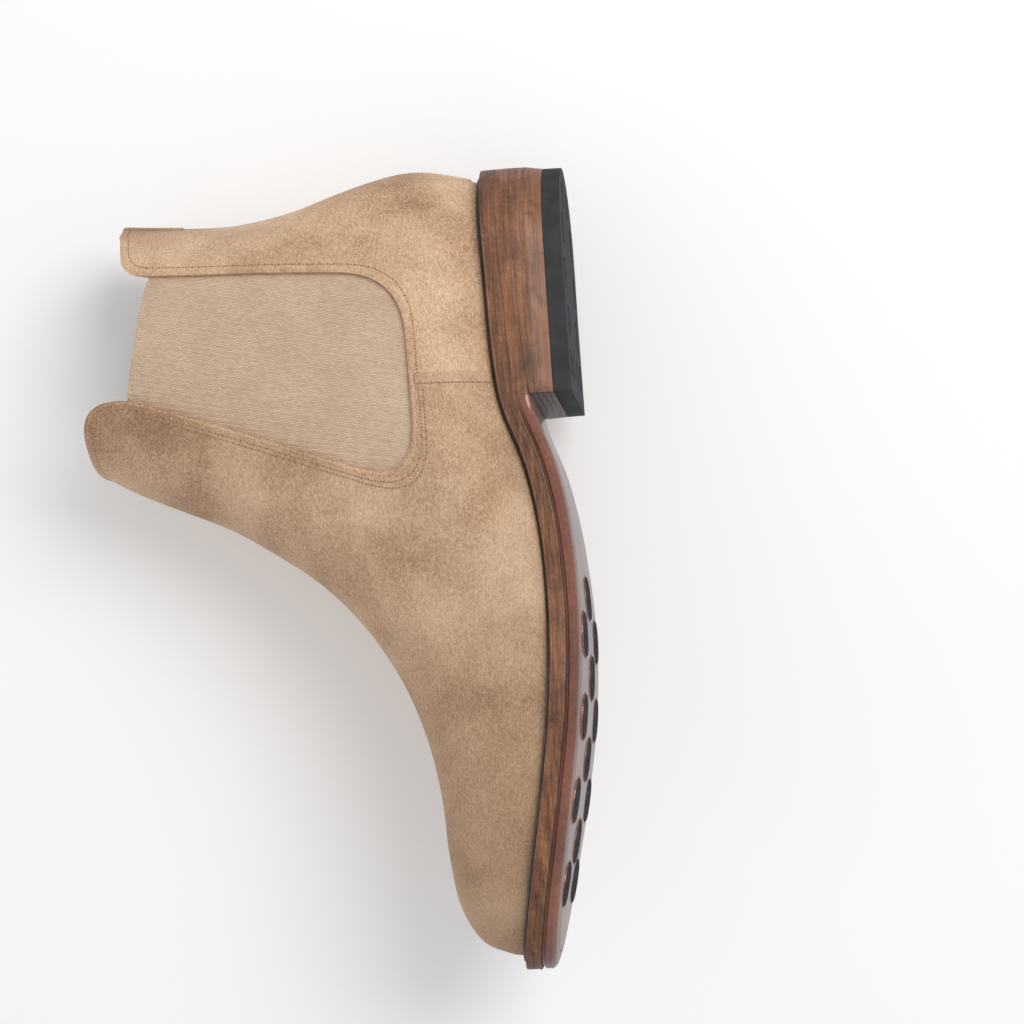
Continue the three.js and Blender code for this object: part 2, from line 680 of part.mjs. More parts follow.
add('vamp', vamp(), COLOURS.suede, 0.95);
add('quarter_medial', quarter('medial'), COLOURS.suede, 0.95);
add('quarter_lateral', quarter('lateral'), COLOURS.suede, 0.95);
add('gore_medial', gore('medial'), COLOURS.elastic, 0.9);
add('gore_lateral', gore('lateral'), COLOURS.elastic, 0.9);
add('backstay', backstay(), COLOURS.suede, 0.95);
add('back_tab', backTab(), COLOURS.suede, 0.95);
add('vamp_lining', lining(vampOutline), COLOURS.lining);
add('quarter_lining', lining(quarterOutline), COLOURS.lining);
add('heel_counter', heelCounter(), COLOURS.board);
add('toe_puff', toePuff(), COLOURS.board);

const insoleInset = WELT_MARGIN + liningInside + INSOLE_CLEAR;
const insoleTop = (x) => featherLine(x) + INSOLE;
const sockBottom = (x) => insoleTop(x) + GAP;
const sockTop = (x) => sockBottom(x) + SOCK;
add('insole_board', plate({ inset: insoleInset, low: featherLine, high: insoleTop }), COLOURS.board);
add('sock_lining', plate({ inset: insoleInset + GAP, low: sockBottom, high: sockTop }), COLOURS.sock);
add('shank_board', shankBoard(), COLOURS.board);
add('steel_shank', steelShank(), COLOURS.steel, 0.35, 1);
const corkPlate = plate({ inset: FILLER_INSET, low: weltBottom, high: weltTop, from: FILLER_X });
add('cork_filler', corkPlate, COLOURS.cork);
add('rand', rand(), COLOURS.edge);
add('welt', welt(), COLOURS.edge, 0.5);
add('midsole', plate({ inset: 0, low: midsoleBottom, high: midsoleTop }), COLOURS.edge, 0.5);
add('outsole', outsole(), COLOURS.sole, 0.35);

add('heel_wedge', heelWedge(), COLOURS.edge, 0.5);
for (let i = 0; i < LIFTS; i += 1) {
  const low = () => liftFloor(i);
  const high = () => liftFloor(i) + LIFT;
  add(`heel_lift_${i + 1}`, heelLayer(LIFTS - i, low, high), COLOURS.edge, 0.5);
}
add('top_lift', topLift(), COLOURS.rubber, 0.7);

studPlaces().forEach((place, i) => {
  const stud = disc(place, STUD_RADIUS - GAP, STUD_PROUD, STUD_PIT - GAP);
  add(`stud_${i + 1}`, stud, COLOURS.rubber, 0.7);
});

// The origin is under the middle of the boot, on the ground.
const bounds = new THREE.Box3().setFromObject(boot);
const centre = bounds.getCenter(new THREE.Vector3());
boot.position.set(-centre.x, -centre.y, -bounds.min.z);

export default boot;
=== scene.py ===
# The looks of a right-foot suede chelsea boot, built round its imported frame.
# Sizes are in millimetres from the back of the heel, the middle plane and the ground, as a boot
# maker measures them, and place() turns them into the frame's metres.
import math

import bmesh
import bpy
import numpy as np
from mathutils import Matrix, Vector
from mathutils.bvhtree import BVHTree


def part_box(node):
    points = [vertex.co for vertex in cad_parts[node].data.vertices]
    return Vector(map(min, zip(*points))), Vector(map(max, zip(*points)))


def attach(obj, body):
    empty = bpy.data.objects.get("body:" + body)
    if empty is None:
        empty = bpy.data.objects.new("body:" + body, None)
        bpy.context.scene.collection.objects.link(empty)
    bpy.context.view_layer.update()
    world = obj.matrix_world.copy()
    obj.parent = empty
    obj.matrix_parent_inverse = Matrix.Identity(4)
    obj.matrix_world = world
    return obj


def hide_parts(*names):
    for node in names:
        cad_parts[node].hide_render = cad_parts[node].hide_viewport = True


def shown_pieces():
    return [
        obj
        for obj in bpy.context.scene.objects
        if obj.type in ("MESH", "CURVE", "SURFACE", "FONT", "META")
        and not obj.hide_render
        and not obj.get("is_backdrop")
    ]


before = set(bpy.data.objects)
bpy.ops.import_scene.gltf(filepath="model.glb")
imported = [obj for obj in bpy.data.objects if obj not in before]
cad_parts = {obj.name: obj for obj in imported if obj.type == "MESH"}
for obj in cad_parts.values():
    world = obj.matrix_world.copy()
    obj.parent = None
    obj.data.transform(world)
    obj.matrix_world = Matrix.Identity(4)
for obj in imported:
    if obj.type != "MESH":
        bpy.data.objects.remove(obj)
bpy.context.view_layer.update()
MM = 0.001

# ---------- sizes ----------
LENGTH = 303.0
HEEL_HALF = 32.0
BALL_HALF = {"medial": 47.0, "lateral": 51.0}
WAIST_HALF = {"medial": 29.0, "lateral": 37.0}
BALL_X = {"medial": 205.0, "lateral": 190.0}
WAIST_X = {"medial": 122.0, "lateral": 112.0}
HEEL_X = 48.0
HEEL_ROUND = 35.0
HEEL_LENGTH = 92.0

SEAT_HEIGHT = 19.0
BREAST_HEIGHT = 15.2
TREAD_X = 178.0
FOREPART_LIFT = 0.9
TOE_SPRING = 21.0
CROWN = 1.2
OUTSOLE = 4.4
MIDSOLE = 2.8
WELT = 2.6
GAP = 0.3
TOP_LIFT = 6.6
LIFT = 1.9
LIFTS = 3
HEEL_TAPER = 0.4
STUD_RADIUS = 9.0
STUD_PIT = 2.4
STUD_PROUD = 0.6
STUD_PITCH = 30.0
STUD_ROW = 25.0

SUEDE = 1.6
WELT_MARGIN = 5.0
BULGE = 1.03
STRIP_HALF = 6.5
TAB_HALF = 10.0
TAB_DROP = 22.0
COLLAR_FRONT = 185.5
COLLAR_BACK = 170.0
SIDE_SEAM_X = 83.0

# The gore's window in side view: x, z, corner radius, clockwise from its top back corner.
WINDOW = [(36.5, 156, 0), (83.4, 166, 0), (92.4, 139, 24), (125, 57.4, 26), (43.9, 60, 24)]
# The collar's corners beside the window, in the same way: the front one and the back one.
FRONT_CORNER = [(130, COLLAR_FRONT, 0), (83.4, COLLAR_FRONT, 14), (83.4, 166, 3)]
BACK_CORNER = [(36.5, 156, 2), (35.5, 166, 7), (12.5, COLLAR_BACK, 3), (-40, COLLAR_BACK, 0)]
# Where cutting outlines end, well clear of the boot.
FAR_FRONT, FAR_BACK, FAR_BELOW = 343, -40, -10

# Sections of the upper from toe to collar: the sole or back line's x and z (None on the welt), the
# front line's x and z, where it is widest, how square it is, and its half widths there.
SECTIONS = [
    (298, None, 297.2, 37, 0.15, 2.2, None, None),
    (291.5, None, 292, 47.6, 0.15, 2.3, None, None),
    (279, None, 279.5, 55, 0.15, 2.4, None, None),
    (260, None, 260, 58.4, 0.14, 2.4, None, None),
    (238, None, 238, 60, 0.14, 2.3, None, None),
    (215, None, 215, 64.6, 0.14, 2.2, None, None),
    (192, None, 193, 73, 0.14, 2.1, None, None),
    (166, None, 172, 86, 0.16, 2.1, 43, 47.5),
    (136, None, 155, 101.5, 0.22, 2.1, 41, 44.5),
    (104, None, 141.5, 119.5, 0.3, 2.1, 40.5, 42.5),
    (70, None, 131.5, 135, 0.38, 2.15, 39, 40),
    (36, None, 124, 151, 0.44, 2.2, 38, 38.5),
    (5, None, 119.3, 161.5, 0.48, 2.25, 37.5, 37.5),
    (-1, 56, 115.5, 169.5, 0.5, 2.25, 37.5, 37.5),
    (2.5, 78, 112, 176, 0.5, 2.2, 38, 38),
    (10.3, 103, 108.5, 182, 0.5, 2.2, 38, 38),
    (14.2, 128, 105.5, 188, 0.5, 2.2, 37.5, 37.5),
    (13, 152, 101.5, 196, 0.5, 2.15, 36.5, 36.5),
    (10.5, 176, 96, 207, 0.5, 2.1, 36, 36),
]
CORNER = 12
BALL = 6
LAST = len(SECTIONS) - 1

# ---------- places and curves ----------
SOLE_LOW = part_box("outsole")[0]
SHIFT = np.array([SOLE_LOW.x, SOLE_LOW.y + BALL_HALF["lateral"] * MM, 0.0])


def place(points):
    return np.asarray(points, float) * MM + SHIFT


def ease(k):
    k = np.clip(k, 0, 1)
    return k * k * (3 - 2 * k)


def mix(a, b, k):
    return a + (b - a) * k


def profile(points):
    """A smooth curve through points with rising x."""
    px, pz = np.array(points, float).T
    slope = np.empty_like(px)
    slope[1:-1] = (pz[2:] - pz[:-2]) / (px[2:] - px[:-2])
    slope[0] = (pz[1] - pz[0]) / (px[1] - px[0])
    slope[-1] = (pz[-1] - pz[-2]) / (px[-1] - px[-2])

    def curve(x):
        i = np.clip(np.searchsorted(px, x, side="right") - 1, 0, len(px) - 2)
        h = px[i + 1] - px[i]
        k = np.clip((x - px[i]) / h, 0, 1)
        bend = slope[i] * h * k * (1 - k) ** 2 - slope[i + 1] * h * k * k * (1 - k)
        return mix(pz[i], pz[i + 1], ease(k)) + bend

    return curve


def through(points):
    """A smooth curve in space through points, by number, with its steps eased at uneven spacing."""
    pts = np.array(points, float)
    ends = np.vstack([2 * pts[0] - pts[1], pts, 2 * pts[-1] - pts[-2]])

    def curve(t):
        t = np.asarray(t, float)
        i = np.clip(t.astype(int), 0, len(pts) - 2)
        p0, p1, p2, p3 = (ends[i + j] for j in range(4))
        d0, d1, d2 = (
            np.linalg.norm(b - a, axis=-1)[..., None] ** 0.5
            for a, b in ((p0, p1), (p1, p2), (p2, p3))
        )
        t1 = ((p1 - p0) / d0 - (p2 - p0) / (d0 + d1) + (p2 - p1) / d1) * d1
        t2 = ((p2 - p1) / d1 - (p3 - p1) / (d1 + d2) + (p3 - p2) / d2) * d1
        k = (t - i)[..., None]
        a = 2 * p1 - 2 * p2 + t1 + t2
        b = -3 * p1 + 3 * p2 - 2 * t1 - t2
        return ((a * k + b) * k + t1) * k + p1

    return curve


sole_bottom = profile([
    (0, SEAT_HEIGHT),
    (45, mix(SEAT_HEIGHT, BREAST_HEIGHT, 0.35)),
    (HEEL_LENGTH, BREAST_HEIGHT),
    (mix(HEEL_LENGTH, TREAD_X, 0.3), BREAST_HEIGHT * 0.48),
    (mix(HEEL_LENGTH, TREAD_X, 0.6), FOREPART_LIFT + BREAST_HEIGHT * 0.13),
    (TREAD_X, FOREPART_LIFT),
    (mix(TREAD_X, LENGTH, 0.25), TOE_SPRING * 0.13),
    (mix(TREAD_X, LENGTH, 0.5), TOE_SPRING * 0.37),
    (mix(TREAD_X, LENGTH, 0.75), TOE_SPRING * 0.68),
    (LENGTH, TOE_SPRING),
])
WELT_TOP = OUTSOLE + CROWN + MIDSOLE + WELT + 2 * GAP


def above(height):
    """A level this far above the middle of the sole's underside."""
    return lambda x, y: sole_bottom(x) + height


def crowned(height):
    return lambda x, y: sole_bottom(x) + height + CROWN * (y / BALL_HALF["lateral"]) ** 2


def feather(x):
    return sole_bottom(x) + WELT_TOP + GAP


def half_width(x, side, inset=0.0):
    to_waist = ease((x - HEEL_X) / (WAIST_X[side] - HEEL_X))
    to_ball = ease((x - WAIST_X[side]) / (BALL_X[side] - WAIST_X[side]))
    body = mix(mix(HEEL_HALF, WAIST_HALF[side], to_waist), BALL_HALF[side], to_ball) - inset
    heel = np.clip((x - inset) / (HEEL_ROUND - inset), 0, 1)
    toe = np.clip((LENGTH - inset - x) / (LENGTH - inset - BALL_X[side]), 0, 1)
    return body * np.sqrt(1 - (1 - heel) ** 2) * np.sqrt(1 - (1 - toe) ** 2)


# ---------- meshes ----------
def mesh_piece(name, points, faces, smooth=35):
    mesh = bpy.data.meshes.new(name)
    mesh.from_pydata(place(points).tolist(), [], faces)
    mesh.validate()
    piece = bpy.data.objects.new(name, mesh)
    bpy.context.collection.objects.link(piece)
    work = bmesh.new()
    work.from_mesh(mesh)
    bmesh.ops.remove_doubles(work, verts=work.verts, dist=2e-6)
    bmesh.ops.recalc_face_normals(work, faces=work.faces)
    work.to_mesh(mesh)
    work.free()
    smooth_shade(piece, smooth)
    return piece


def alone(piece):
    bpy.ops.object.select_all(action="DESELECT")
    piece.select_set(True)
    bpy.context.view_layer.objects.active = piece


def smooth_shade(piece, angle=35):
    alone(piece)
    bpy.ops.object.shade_smooth_by_angle(angle=math.radians(angle))


def apply_modifiers(piece):
    alone(piece)
    for name in [m.name for m in piece.modifiers]:
        bpy.ops.object.modifier_apply(modifier=name)


def settle(piece):
    """Puts a finished piece's place into its mesh."""
    alone(piece)
    bpy.ops.object.transform_apply(location=True, rotation=True, scale=True)
    return piece


def cut(piece, tool, way="DIFFERENCE"):
    """Cuts a piece with a tool, or joins or crosses the two, and does away with the tool."""
    work = piece.modifiers.new("cut", "BOOLEAN")
    work.operation = way
    work.solver = "MANIFOLD"
    work.object = tool
    apply_modifiers(piece)
    bpy.data.objects.remove(tool)
    return piece


def rows_of_quads(rows, columns, closed):
    """Faces between rows of points, and from the last row to the first where closed."""
    faces = []
    for i in range(rows if closed else rows - 1):
        a, b = i * columns, (i + 1) % rows * columns
        for j in range(columns - 1):
            faces.append((a + j, b + j, b + j + 1, a + j + 1))
    return faces


def rings_of_quads(rings, count, closed):
    faces = []
    for i in range(rings if closed else rings - 1):
        a, b = i * count, (i + 1) % rings * count
        for j in range(count):
            k = (j + 1) % count
            faces.append((a + j, b + j, b + k, a + k))
    return faces


def rounded(outline, steps=8):
    """Points of an outline of x, z and corner radius."""
    points = []
    for i, (x, z, radius) in enumerate(outline):
        corner = np.array([x, z], float)
        if not radius:
            points.append(corner)
            continue
        before = np.array(outline[i - 1][:2], float) - corner
        after = np.array(outline[(i + 1) % len(outline)][:2], float) - corner
        into = corner + before / np.linalg.norm(before) * radius
        out = corner + after / np.linalg.norm(after) * radius
        for k in np.linspace(0, 1, steps + 1):
            points.append(into * (1 - k) ** 2 + 2 * corner * k * (1 - k) + out * k * k)
    return np.array(points)


def bar(outline, y_from=-80.0, y_to=80.0):
    """A cutting bar along Y whose side view is the outline."""
    flat = rounded(outline, 16)
    count = len(flat)
    points = [(x, y, z) for y in (y_from, y_to) for x, z in flat]
    faces = [tuple(range(count)), tuple(range(2 * count - 1, count - 1, -1))]
    for j in range(count):
        k = (j + 1) % count
        faces.append((j, k, count + k, count + j))
    return mesh_piece("bar", points, faces)


def beside(line, distance):
    """An open line of x, z and corner radius, moved to its left."""
    points = np.array([p[:2] for p in line], float)
    runs = np.diff(points, axis=0)
    runs /= np.linalg.norm(runs, axis=1)[:, None]
    left = np.stack([-runs[:, 1], runs[:, 0]], 1) * distance
    result = [(*(points[0] + left[0]), 0)]
    for i in range(1, len(line) - 1):
        a, b = runs[i - 1], runs[i]
        start = points[i] + left[i - 1]
        gap = points[i] + left[i] - start
        turn = a[0] * b[1] - a[1] * b[0]
        step = (gap[0] * b[1] - gap[1] * b[0]) / turn
        corner = start + a * step
        result.append((corner[0], corner[1], line[i][2]))
    result.append((*(points[-1] + left[-1]), 0))
    return result


def evenly(points, pitch, *others):
    """Points along a line at an even pitch, and whatever else goes with them."""
    points = np.asarray(points, float)
    walk = np.concatenate([[0], np.cumsum(np.linalg.norm(np.diff(points, axis=0), axis=1))])
    count = max(2, round(walk[-1] / pitch) + 1)
    spots = np.linspace(0, walk[-1], count)
    result = []
    for line in (points, *others):
        columns = [np.interp(spots, walk, line[:, c]) for c in range(line.shape[1])]
        result.append(np.stack(columns, 1))
    return result if others else result[0]


def grid_solid(name, grid, normals, outer, inner, smooth=35):
    """An open sheet of points made solid between two heights over it."""
    rows, columns = grid.shape[:2]
    layers = [grid + normals * np.broadcast_to(h, (rows, columns))[..., None] for h in (outer, inner)]
    total = rows * columns
    faces = rows_of_quads(rows, columns, False)
    faces += [tuple(total + k for k in reversed(f)) for f in faces]
    border = list(range(columns))
    border += [i * columns + columns - 1 for i in range(1, rows)]
    border += [(rows - 1) * columns + j for j in range(columns - 2, -1, -1)]
    border += [i * columns for i in range(rows - 2, 0, -1)]
    for a, b in zip(border, border[1:] + border[:1]):
        faces.append((a, b, total + b, total + a))
    return mesh_piece(name, np.concatenate([layer.reshape(-1, 3) for layer in layers]), faces, smooth)


def sheet_normals(grid):
    normals = np.cross(np.gradient(grid, axis=0), np.gradient(grid, axis=1))
    return normals / np.linalg.norm(normals, axis=2)[..., None]


# ---------- the upper's surface ----------
front_line = through([(s[2], 0, s[3]) for s in SECTIONS])
back_line = through([(s[0], 0, s[1] or feather(s[0])) for s in SECTIONS[CORNER:]])
foot_line = profile([(i, s[0]) for i, s in enumerate(SECTIONS[:CORNER + 1])])
belly_line = profile([(i, s[4]) for i, s in enumerate(SECTIONS)])
squareness = profile([(i, s[5]) for i, s in enumerate(SECTIONS)])


def width_line(side, column):
    ball = half_width(float(SECTIONS[BALL][0]), side, WELT_MARGIN) * BULGE
    return profile([(BALL + i, s[column] or ball) for i, s in enumerate(SECTIONS[BALL:])])


WIDTHS = {"medial": width_line("medial", 6), "lateral": width_line("lateral", 7)}


def face_points(u, side, share):
    """Points of the upper's outer face, by section number and share of the way up the section."""
    u, share = np.broadcast_arrays(np.asarray(u, float), np.asarray(share, float))
    front = front_line(u)
    foot_x = foot_line(np.minimum(u, CORNER))
    on_welt = np.stack([foot_x, np.zeros_like(foot_x), feather(foot_x)], -1)
    on_back = back_line(np.maximum(u - CORNER, 0))
    outer = np.where((u > CORNER)[..., None], on_back, on_welt)
    foot = np.where(u < CORNER, half_width(foot_x, side, WELT_MARGIN), 0)
    wide = np.where(u <= BALL, foot * BULGE, WIDTHS[side](u))
    power = 2 / squareness(u)
    belly = belly_line(u)
    meet = np.clip(foot / np.maximum(wide, 1e-9), 0, 1 / BULGE)
    meet = np.where(wide < 1e-6, 1 / BULGE, meet)
    below = np.arccos(meet ** (1 / power))
    low = share < belly
    angle = np.where(low, below * (1 - share / belly), (share - belly) / (1 - belly) * np.pi / 2)
    reach = np.where(low, -belly / np.sin(below) ** power, 1 - belly)
    along = belly + reach * np.abs(np.sin(angle)) ** power
    y = np.where(share >= 1, 0, wide * np.maximum(np.cos(angle), 0) ** power)
    point = outer + (front - outer) * along[..., None]
    point[..., 1] = y if side == "medial" else -y
    return point


def upper_grid(columns=64, steps=9):
    """The outer face and its normals: a row for each section, from lateral to medial."""
    tip = (np.arange(2 * steps) / (2 * steps)) ** 2
    middle = np.arange(1, CORNER - 1, 1 / steps)
    heel = CORNER - (1 - np.arange(2 * steps) / (2 * steps)) ** 2
    shaft = np.linspace(CORNER, LAST, (LAST - CORNER) * steps + 1)
    rows = np.concatenate([tip, middle, heel, shaft])
    share = np.linspace(0, 1, columns + 1)
    u, s = np.meshgrid(rows, share, indexing="ij")
    lateral = face_points(u, "lateral", s)
    medial = face_points(u, "medial", s)[:, ::-1]
    grid = np.concatenate([lateral, medial[:, 1:]], axis=1)
    for _ in range(6):
        grid = relaxed(grid, rows)
    along = np.gradient(grid, axis=0)
    across = np.gradient(grid, axis=1)
    closed = rows >= CORNER
    across[closed, 0] = grid[closed, 1] - grid[closed, -2]
    across[closed, -1] = across[closed, 0]
    normals = np.cross(along, across)
    normals[0] = (1, 0, 0)
    middle_column = columns
    normals[:, middle_column, 1] = 0
    normals[closed, 0, 1] = 0
    normals[closed, -1, 1] = 0
    normals /= np.maximum(np.linalg.norm(normals, axis=2), 1e-9)[..., None]
    if normals[len(rows) // 2, middle_column, 2] < 0:
        normals[1:] *= -1
    return grid, normals, rows


def relaxed(grid, rows):
    """Evens out the sections, which takes any hard line out of the surface."""
    result = grid.copy()
    inside = slice(1, -1)
    near_heel = (rows[inside] > CORNER - 3)[:, None, None]
    blend = 0.5 * grid[inside] + 0.25 * (grid[:-2] + grid[2:])
    result[inside] = np.where(near_heel, blend, grid[inside])
    result[:, 0] = grid[:, 0]
    result[:, -1] = grid[:, -1]
    return result


GRID, NORMALS, ROWS = upper_grid()


def shell(name, outside, inside, dip=3.0):
    """The upper's shape between two depths under its face. A depth may be an array over the grid."""
    count = GRID.shape[1]
    shaft = ROWS >= CORNER
    layers = []
    for depth in (outside, inside):
        depth = np.broadcast_to(depth, GRID.shape[:2])[..., None]
        layer = GRID - NORMALS * depth
        layer[~shaft, 0, 2] -= dip
        layer[~shaft, -1, 2] -= dip
        layers.append(layer)
    total = GRID.shape[0] * count
    faces = rows_of_quads(GRID.shape[0], count, False)
    faces += [tuple(total + k for k in reversed(f)) for f in faces]
    for i in range(GRID.shape[0] - 1):
        if ROWS[i] < CORNER:
            a, b = i * count, (i + 1) * count
            faces.append((a, b, total + b, total + a))
            a, b = a + count - 1, b + count - 1
            faces.append((a, total + a, total + b, b))
    top = (GRID.shape[0] - 1) * count
    for j in range(count - 1):
        faces.append((top + j, top + j + 1, total + top + j + 1, total + top + j))
    points = np.concatenate([layer.reshape(-1, 3) for layer in layers])
    return mesh_piece(name, points, faces)


def copy_of(piece, name):
    twin = piece.copy()
    twin.data = piece.data.copy()
    twin.name = name
    bpy.context.collection.objects.link(twin)
    return twin


def face_tree():
    count = GRID.shape[1]
    points = [tuple(p) for p in GRID.reshape(-1, 3)]
    faces = rows_of_quads(GRID.shape[0], count, False)
    return BVHTree.FromPolygons(points, faces)


FACE = face_tree()


def hit(origin, direction):
    spot, normal, _, _ = FACE.ray_cast(Vector(origin), Vector(direction))
    if spot is None:
        return None
    if normal.dot(Vector(direction)) > 0:
        normal = -normal
    return np.array(spot), np.array(normal)


SHAFT_AXIS = 60.0
CLEAR_OF_SEAM = 0.0005  # keeps rays off the line where the face's two ends meet
SIDES = {"medial": 1, "lateral": -1}


def apart(found):
    """The points and the normals of what rays have found."""
    return np.array([p for p, _ in found]), np.array([n for _, n in found])


def on_side(side, x, z):
    sign = SIDES[side]
    return hit((x, sign * 200, z), (0, -sign, 0))


def round_shaft(side, start, end, z, steps=26):
    """Points of the face at one height, between two turns about the shaft's middle."""
    found = []
    for turn in np.clip(np.linspace(start, end, steps), CLEAR_OF_SEAM, math.pi - CLEAR_OF_SEAM):
        direction = (math.cos(turn), SIDES[side] * math.sin(turn), 0)
        outside = (SHAFT_AXIS + 200 * direction[0], 200 * direction[1], z)
        found.append(hit(outside, [-d for d in direction]))
    return found


def softened(values, times=3):
    """Evens out a closed loop of values."""
    for _ in range(times):
        values = 0.5 * values + 0.25 * (np.roll(values, 1, axis=0) + np.roll(values, -1, axis=0))
    return values


# The free edge of the suede in side view, from the front of the collar round the gore to the back.
EDGE = [*FRONT_CORNER, *WINDOW[2:], *BACK_CORNER]
FRONT_TURN = 97.0
BACK_TURN = 18.0


def open_rounded(line, steps=10):
    """An open line with rounded corners."""
    return rounded([(*line[0][:2], 0), *line[1:-1], (*line[-1][:2], 0)], steps)


def edge_loop(distance, pitch=0.9):
    """A closed loop on the suede, this far in from its free edge: its points and normals."""
    flat = evenly(open_rounded(beside(EDGE, distance)), pitch)
    flat = flat[(flat[:, 0] < FRONT_TURN) | (flat[:, 1] < COLLAR_FRONT - 15)]
    flat = flat[(flat[:, 0] > BACK_TURN) | (flat[:, 1] < COLLAR_BACK - 15)]
    halves = []
    for side in ("medial", "lateral"):
        found = [on_side(side, x, z) for x, z in flat]
        first, last = found[0][0], found[-1][0]
        front = math.atan2(abs(first[1]), first[0] - SHAFT_AXIS)
        back = math.atan2(abs(last[1]), last[0] - SHAFT_AXIS)
        around_front = round_shaft(side, 0, front, COLLAR_FRONT - distance)[:-1]
        around_back = round_shaft(side, back, math.pi, COLLAR_BACK - distance)[1:]
        halves.append(around_front + found + around_back)
    loop = halves[0] + halves[1][-2:0:-1]
    points, normals = apart(loop)
    points, normals = softened(points, 1), softened(normals, 6)
    normals /= np.linalg.norm(normals, axis=1)[:, None]
    return points, normals


def sweep(name, points, normals, section, closed, taper=0, smooth=50):
    """A solid strip: a section of (sideways, out) points carried along a line on the face."""
    section = np.array(section, float)
    ahead = np.roll(points, -1, axis=0) - np.roll(points, 1, axis=0)
    if not closed:
        ahead[0], ahead[-1] = points[1] - points[0], points[-1] - points[-2]
    side = np.cross(ahead, normals)
    side /= np.linalg.norm(side, axis=1)[:, None]
    size = np.ones(len(points))
    if taper:
        ends = np.minimum(np.arange(len(points)), np.arange(len(points))[::-1])
        size = 0.15 + 0.85 * ease(ends / taper)
    rings = points[:, None] + size[:, None, None] * (
        side[:, None] * section[None, :, :1] + normals[:, None] * section[None, :, 1:]
    )
    count = len(section)
    faces = rings_of_quads(len(points), count, closed)
    if not closed:
        faces.append(tuple(range(count)))
        faces.append(tuple((len(points) - 1) * count + j for j in reversed(range(count))))
    return mesh_piece(name, rings.reshape(-1, 3), faces, smooth)


def oval(half_wide, half_height, height, count=12):
    turns = np.linspace(0, 2 * np.pi, count, endpoint=False)
    return [(half_wide * math.cos(t), height + half_height * math.sin(t)) for t in turns]


def stitches(name, points, normals, pitch=2.6, length=1.9, thick=0.24, sink=0.06, closed=False):
    """A row of sewn threads, each a small rounded bar."""
    if closed:
        points = np.vstack([points, points[:1]])
        normals = np.vstack([normals, normals[:1]])
    spots, ups = evenly(points, pitch, normals)
    middle = (spots[1:] + spots[:-1]) / 2
    ahead = spots[1:] - spots[:-1]
    ahead /= np.linalg.norm(ahead, axis=1)[:, None]
    up = (ups[1:] + ups[:-1]) / 2
    side = np.cross(up, ahead)
    side /= np.linalg.norm(side, axis=1)[:, None]
    up = np.cross(ahead, side)
    turns = np.linspace(0, 2 * np.pi, 6, endpoint=False)
    bar_points = [(-0.5 * length, 0, -0.2)]
    for along, size in ((-0.36, 0.75), (0, 1), (0.36, 0.75)):
        lift = 0.25 if along == 0 else 0
        for t in turns:
            up_by = size * thick * math.sin(t) + lift * thick
            bar_points.append((along * length, size * thick * math.cos(t), up_by))
    bar_points.append((0.5 * length, 0, -0.2))
    bar_points = np.array(bar_points)
    last = len(bar_points) - 1
    bar_faces = [(0, 1 + (j + 1) % 6, 1 + j) for j in range(6)]
    bar_faces += [tuple(1 + k for k in f) for f in rings_of_quads(3, 6, False)]
    bar_faces += [(last, last - 6 + j, last - 6 + (j + 1) % 6) for j in range(6)]
    all_points, faces = [], []
    for m, a, s, u in zip(middle, ahead, side, up):
        start = len(all_points) * len(bar_points)
        local = m - u * sink + bar_points @ np.array([a, s, u])
        all_points.append(local)
        faces += [tuple(start + k for k in f) for f in bar_faces]
    return mesh_piece(name, np.concatenate(all_points), faces, 180)


def painted_shade_dots(name, points, normals, pitch=2.6, size=0.34, closed=False):
    """Small dark dots where a row's threads go down, a painted shade of the stitch holes."""
    if closed:
        points = np.vstack([points, points[:1]])
        normals = np.vstack([normals, normals[:1]])
    spots, ups = evenly(points, pitch, normals)
    all_points, faces = [], []
    turns = np.linspace(0, 2 * np.pi, 8, endpoint=False)
    for spot, up in zip(spots, ups):
        up = up / np.linalg.norm(up)
        side = np.cross(up, (0.3, 0.1, 0.9))
        side /= np.linalg.norm(side)
        ahead = np.cross(side, up)
        start = len(all_points)
        for radius, height in ((size, -0.3), (size, 0.03), (size * 0.4, 0.07)):
            for t in turns:
                all_points.append(spot + up * height + radius * (side * math.cos(t) + ahead * math.sin(t)))
        faces += [tuple(start + k for k in f) for f in rings_of_quads(3, 8, False)]
        faces.append(tuple(start + k for k in range(8)))
        faces.append(tuple(start + 16 + k for k in reversed(range(8))))
    return mesh_piece(name, all_points, faces, 40)


# ---------- the upper's pieces ----------
FLOOR_AT_SEAM = mix(WINDOW[3][1], WINDOW[4][1], (WINDOW[3][0] - SIDE_SEAM_X) / (WINDOW[3][0] - WINDOW[4][0]))
VAMP = [
    (83.08, FAR_BELOW, 0),
    (83.08, FLOOR_AT_SEAM, 0),
    WINDOW[3],
    WINDOW[2],
    *reversed(FRONT_CORNER),
    (FAR_FRONT, COLLAR_FRONT, 0),
    (FAR_FRONT, FAR_BELOW, 0),
]
QUARTER = [
    (82.92, FAR_BELOW, 0),
    (FAR_BACK, FAR_BELOW, 0),
    *reversed(BACK_CORNER),
    WINDOW[4],
    (82.92, FLOOR_AT_SEAM, 0),
]
TUCK = 6.0  # how far the elastic runs in under the suede
PUFF = 1.2
LINING_INSIDE = 4.8


def inside_window(x, z):
    """How far points of the side view lie inside the gore's sewn edges."""
    edges = [WINDOW[i] for i in (1, 2, 3, 4, 0)]
    depth = np.full(np.shape(x), 99.0)
    for a, b in zip(edges, edges[1:]):
        run = np.array([b[0] - a[0], b[1] - a[1]], float)
        run /= np.linalg.norm(run)
        depth = np.minimum(depth, (x - a[0]) * run[1] - (z - a[1]) * run[0])
    return depth


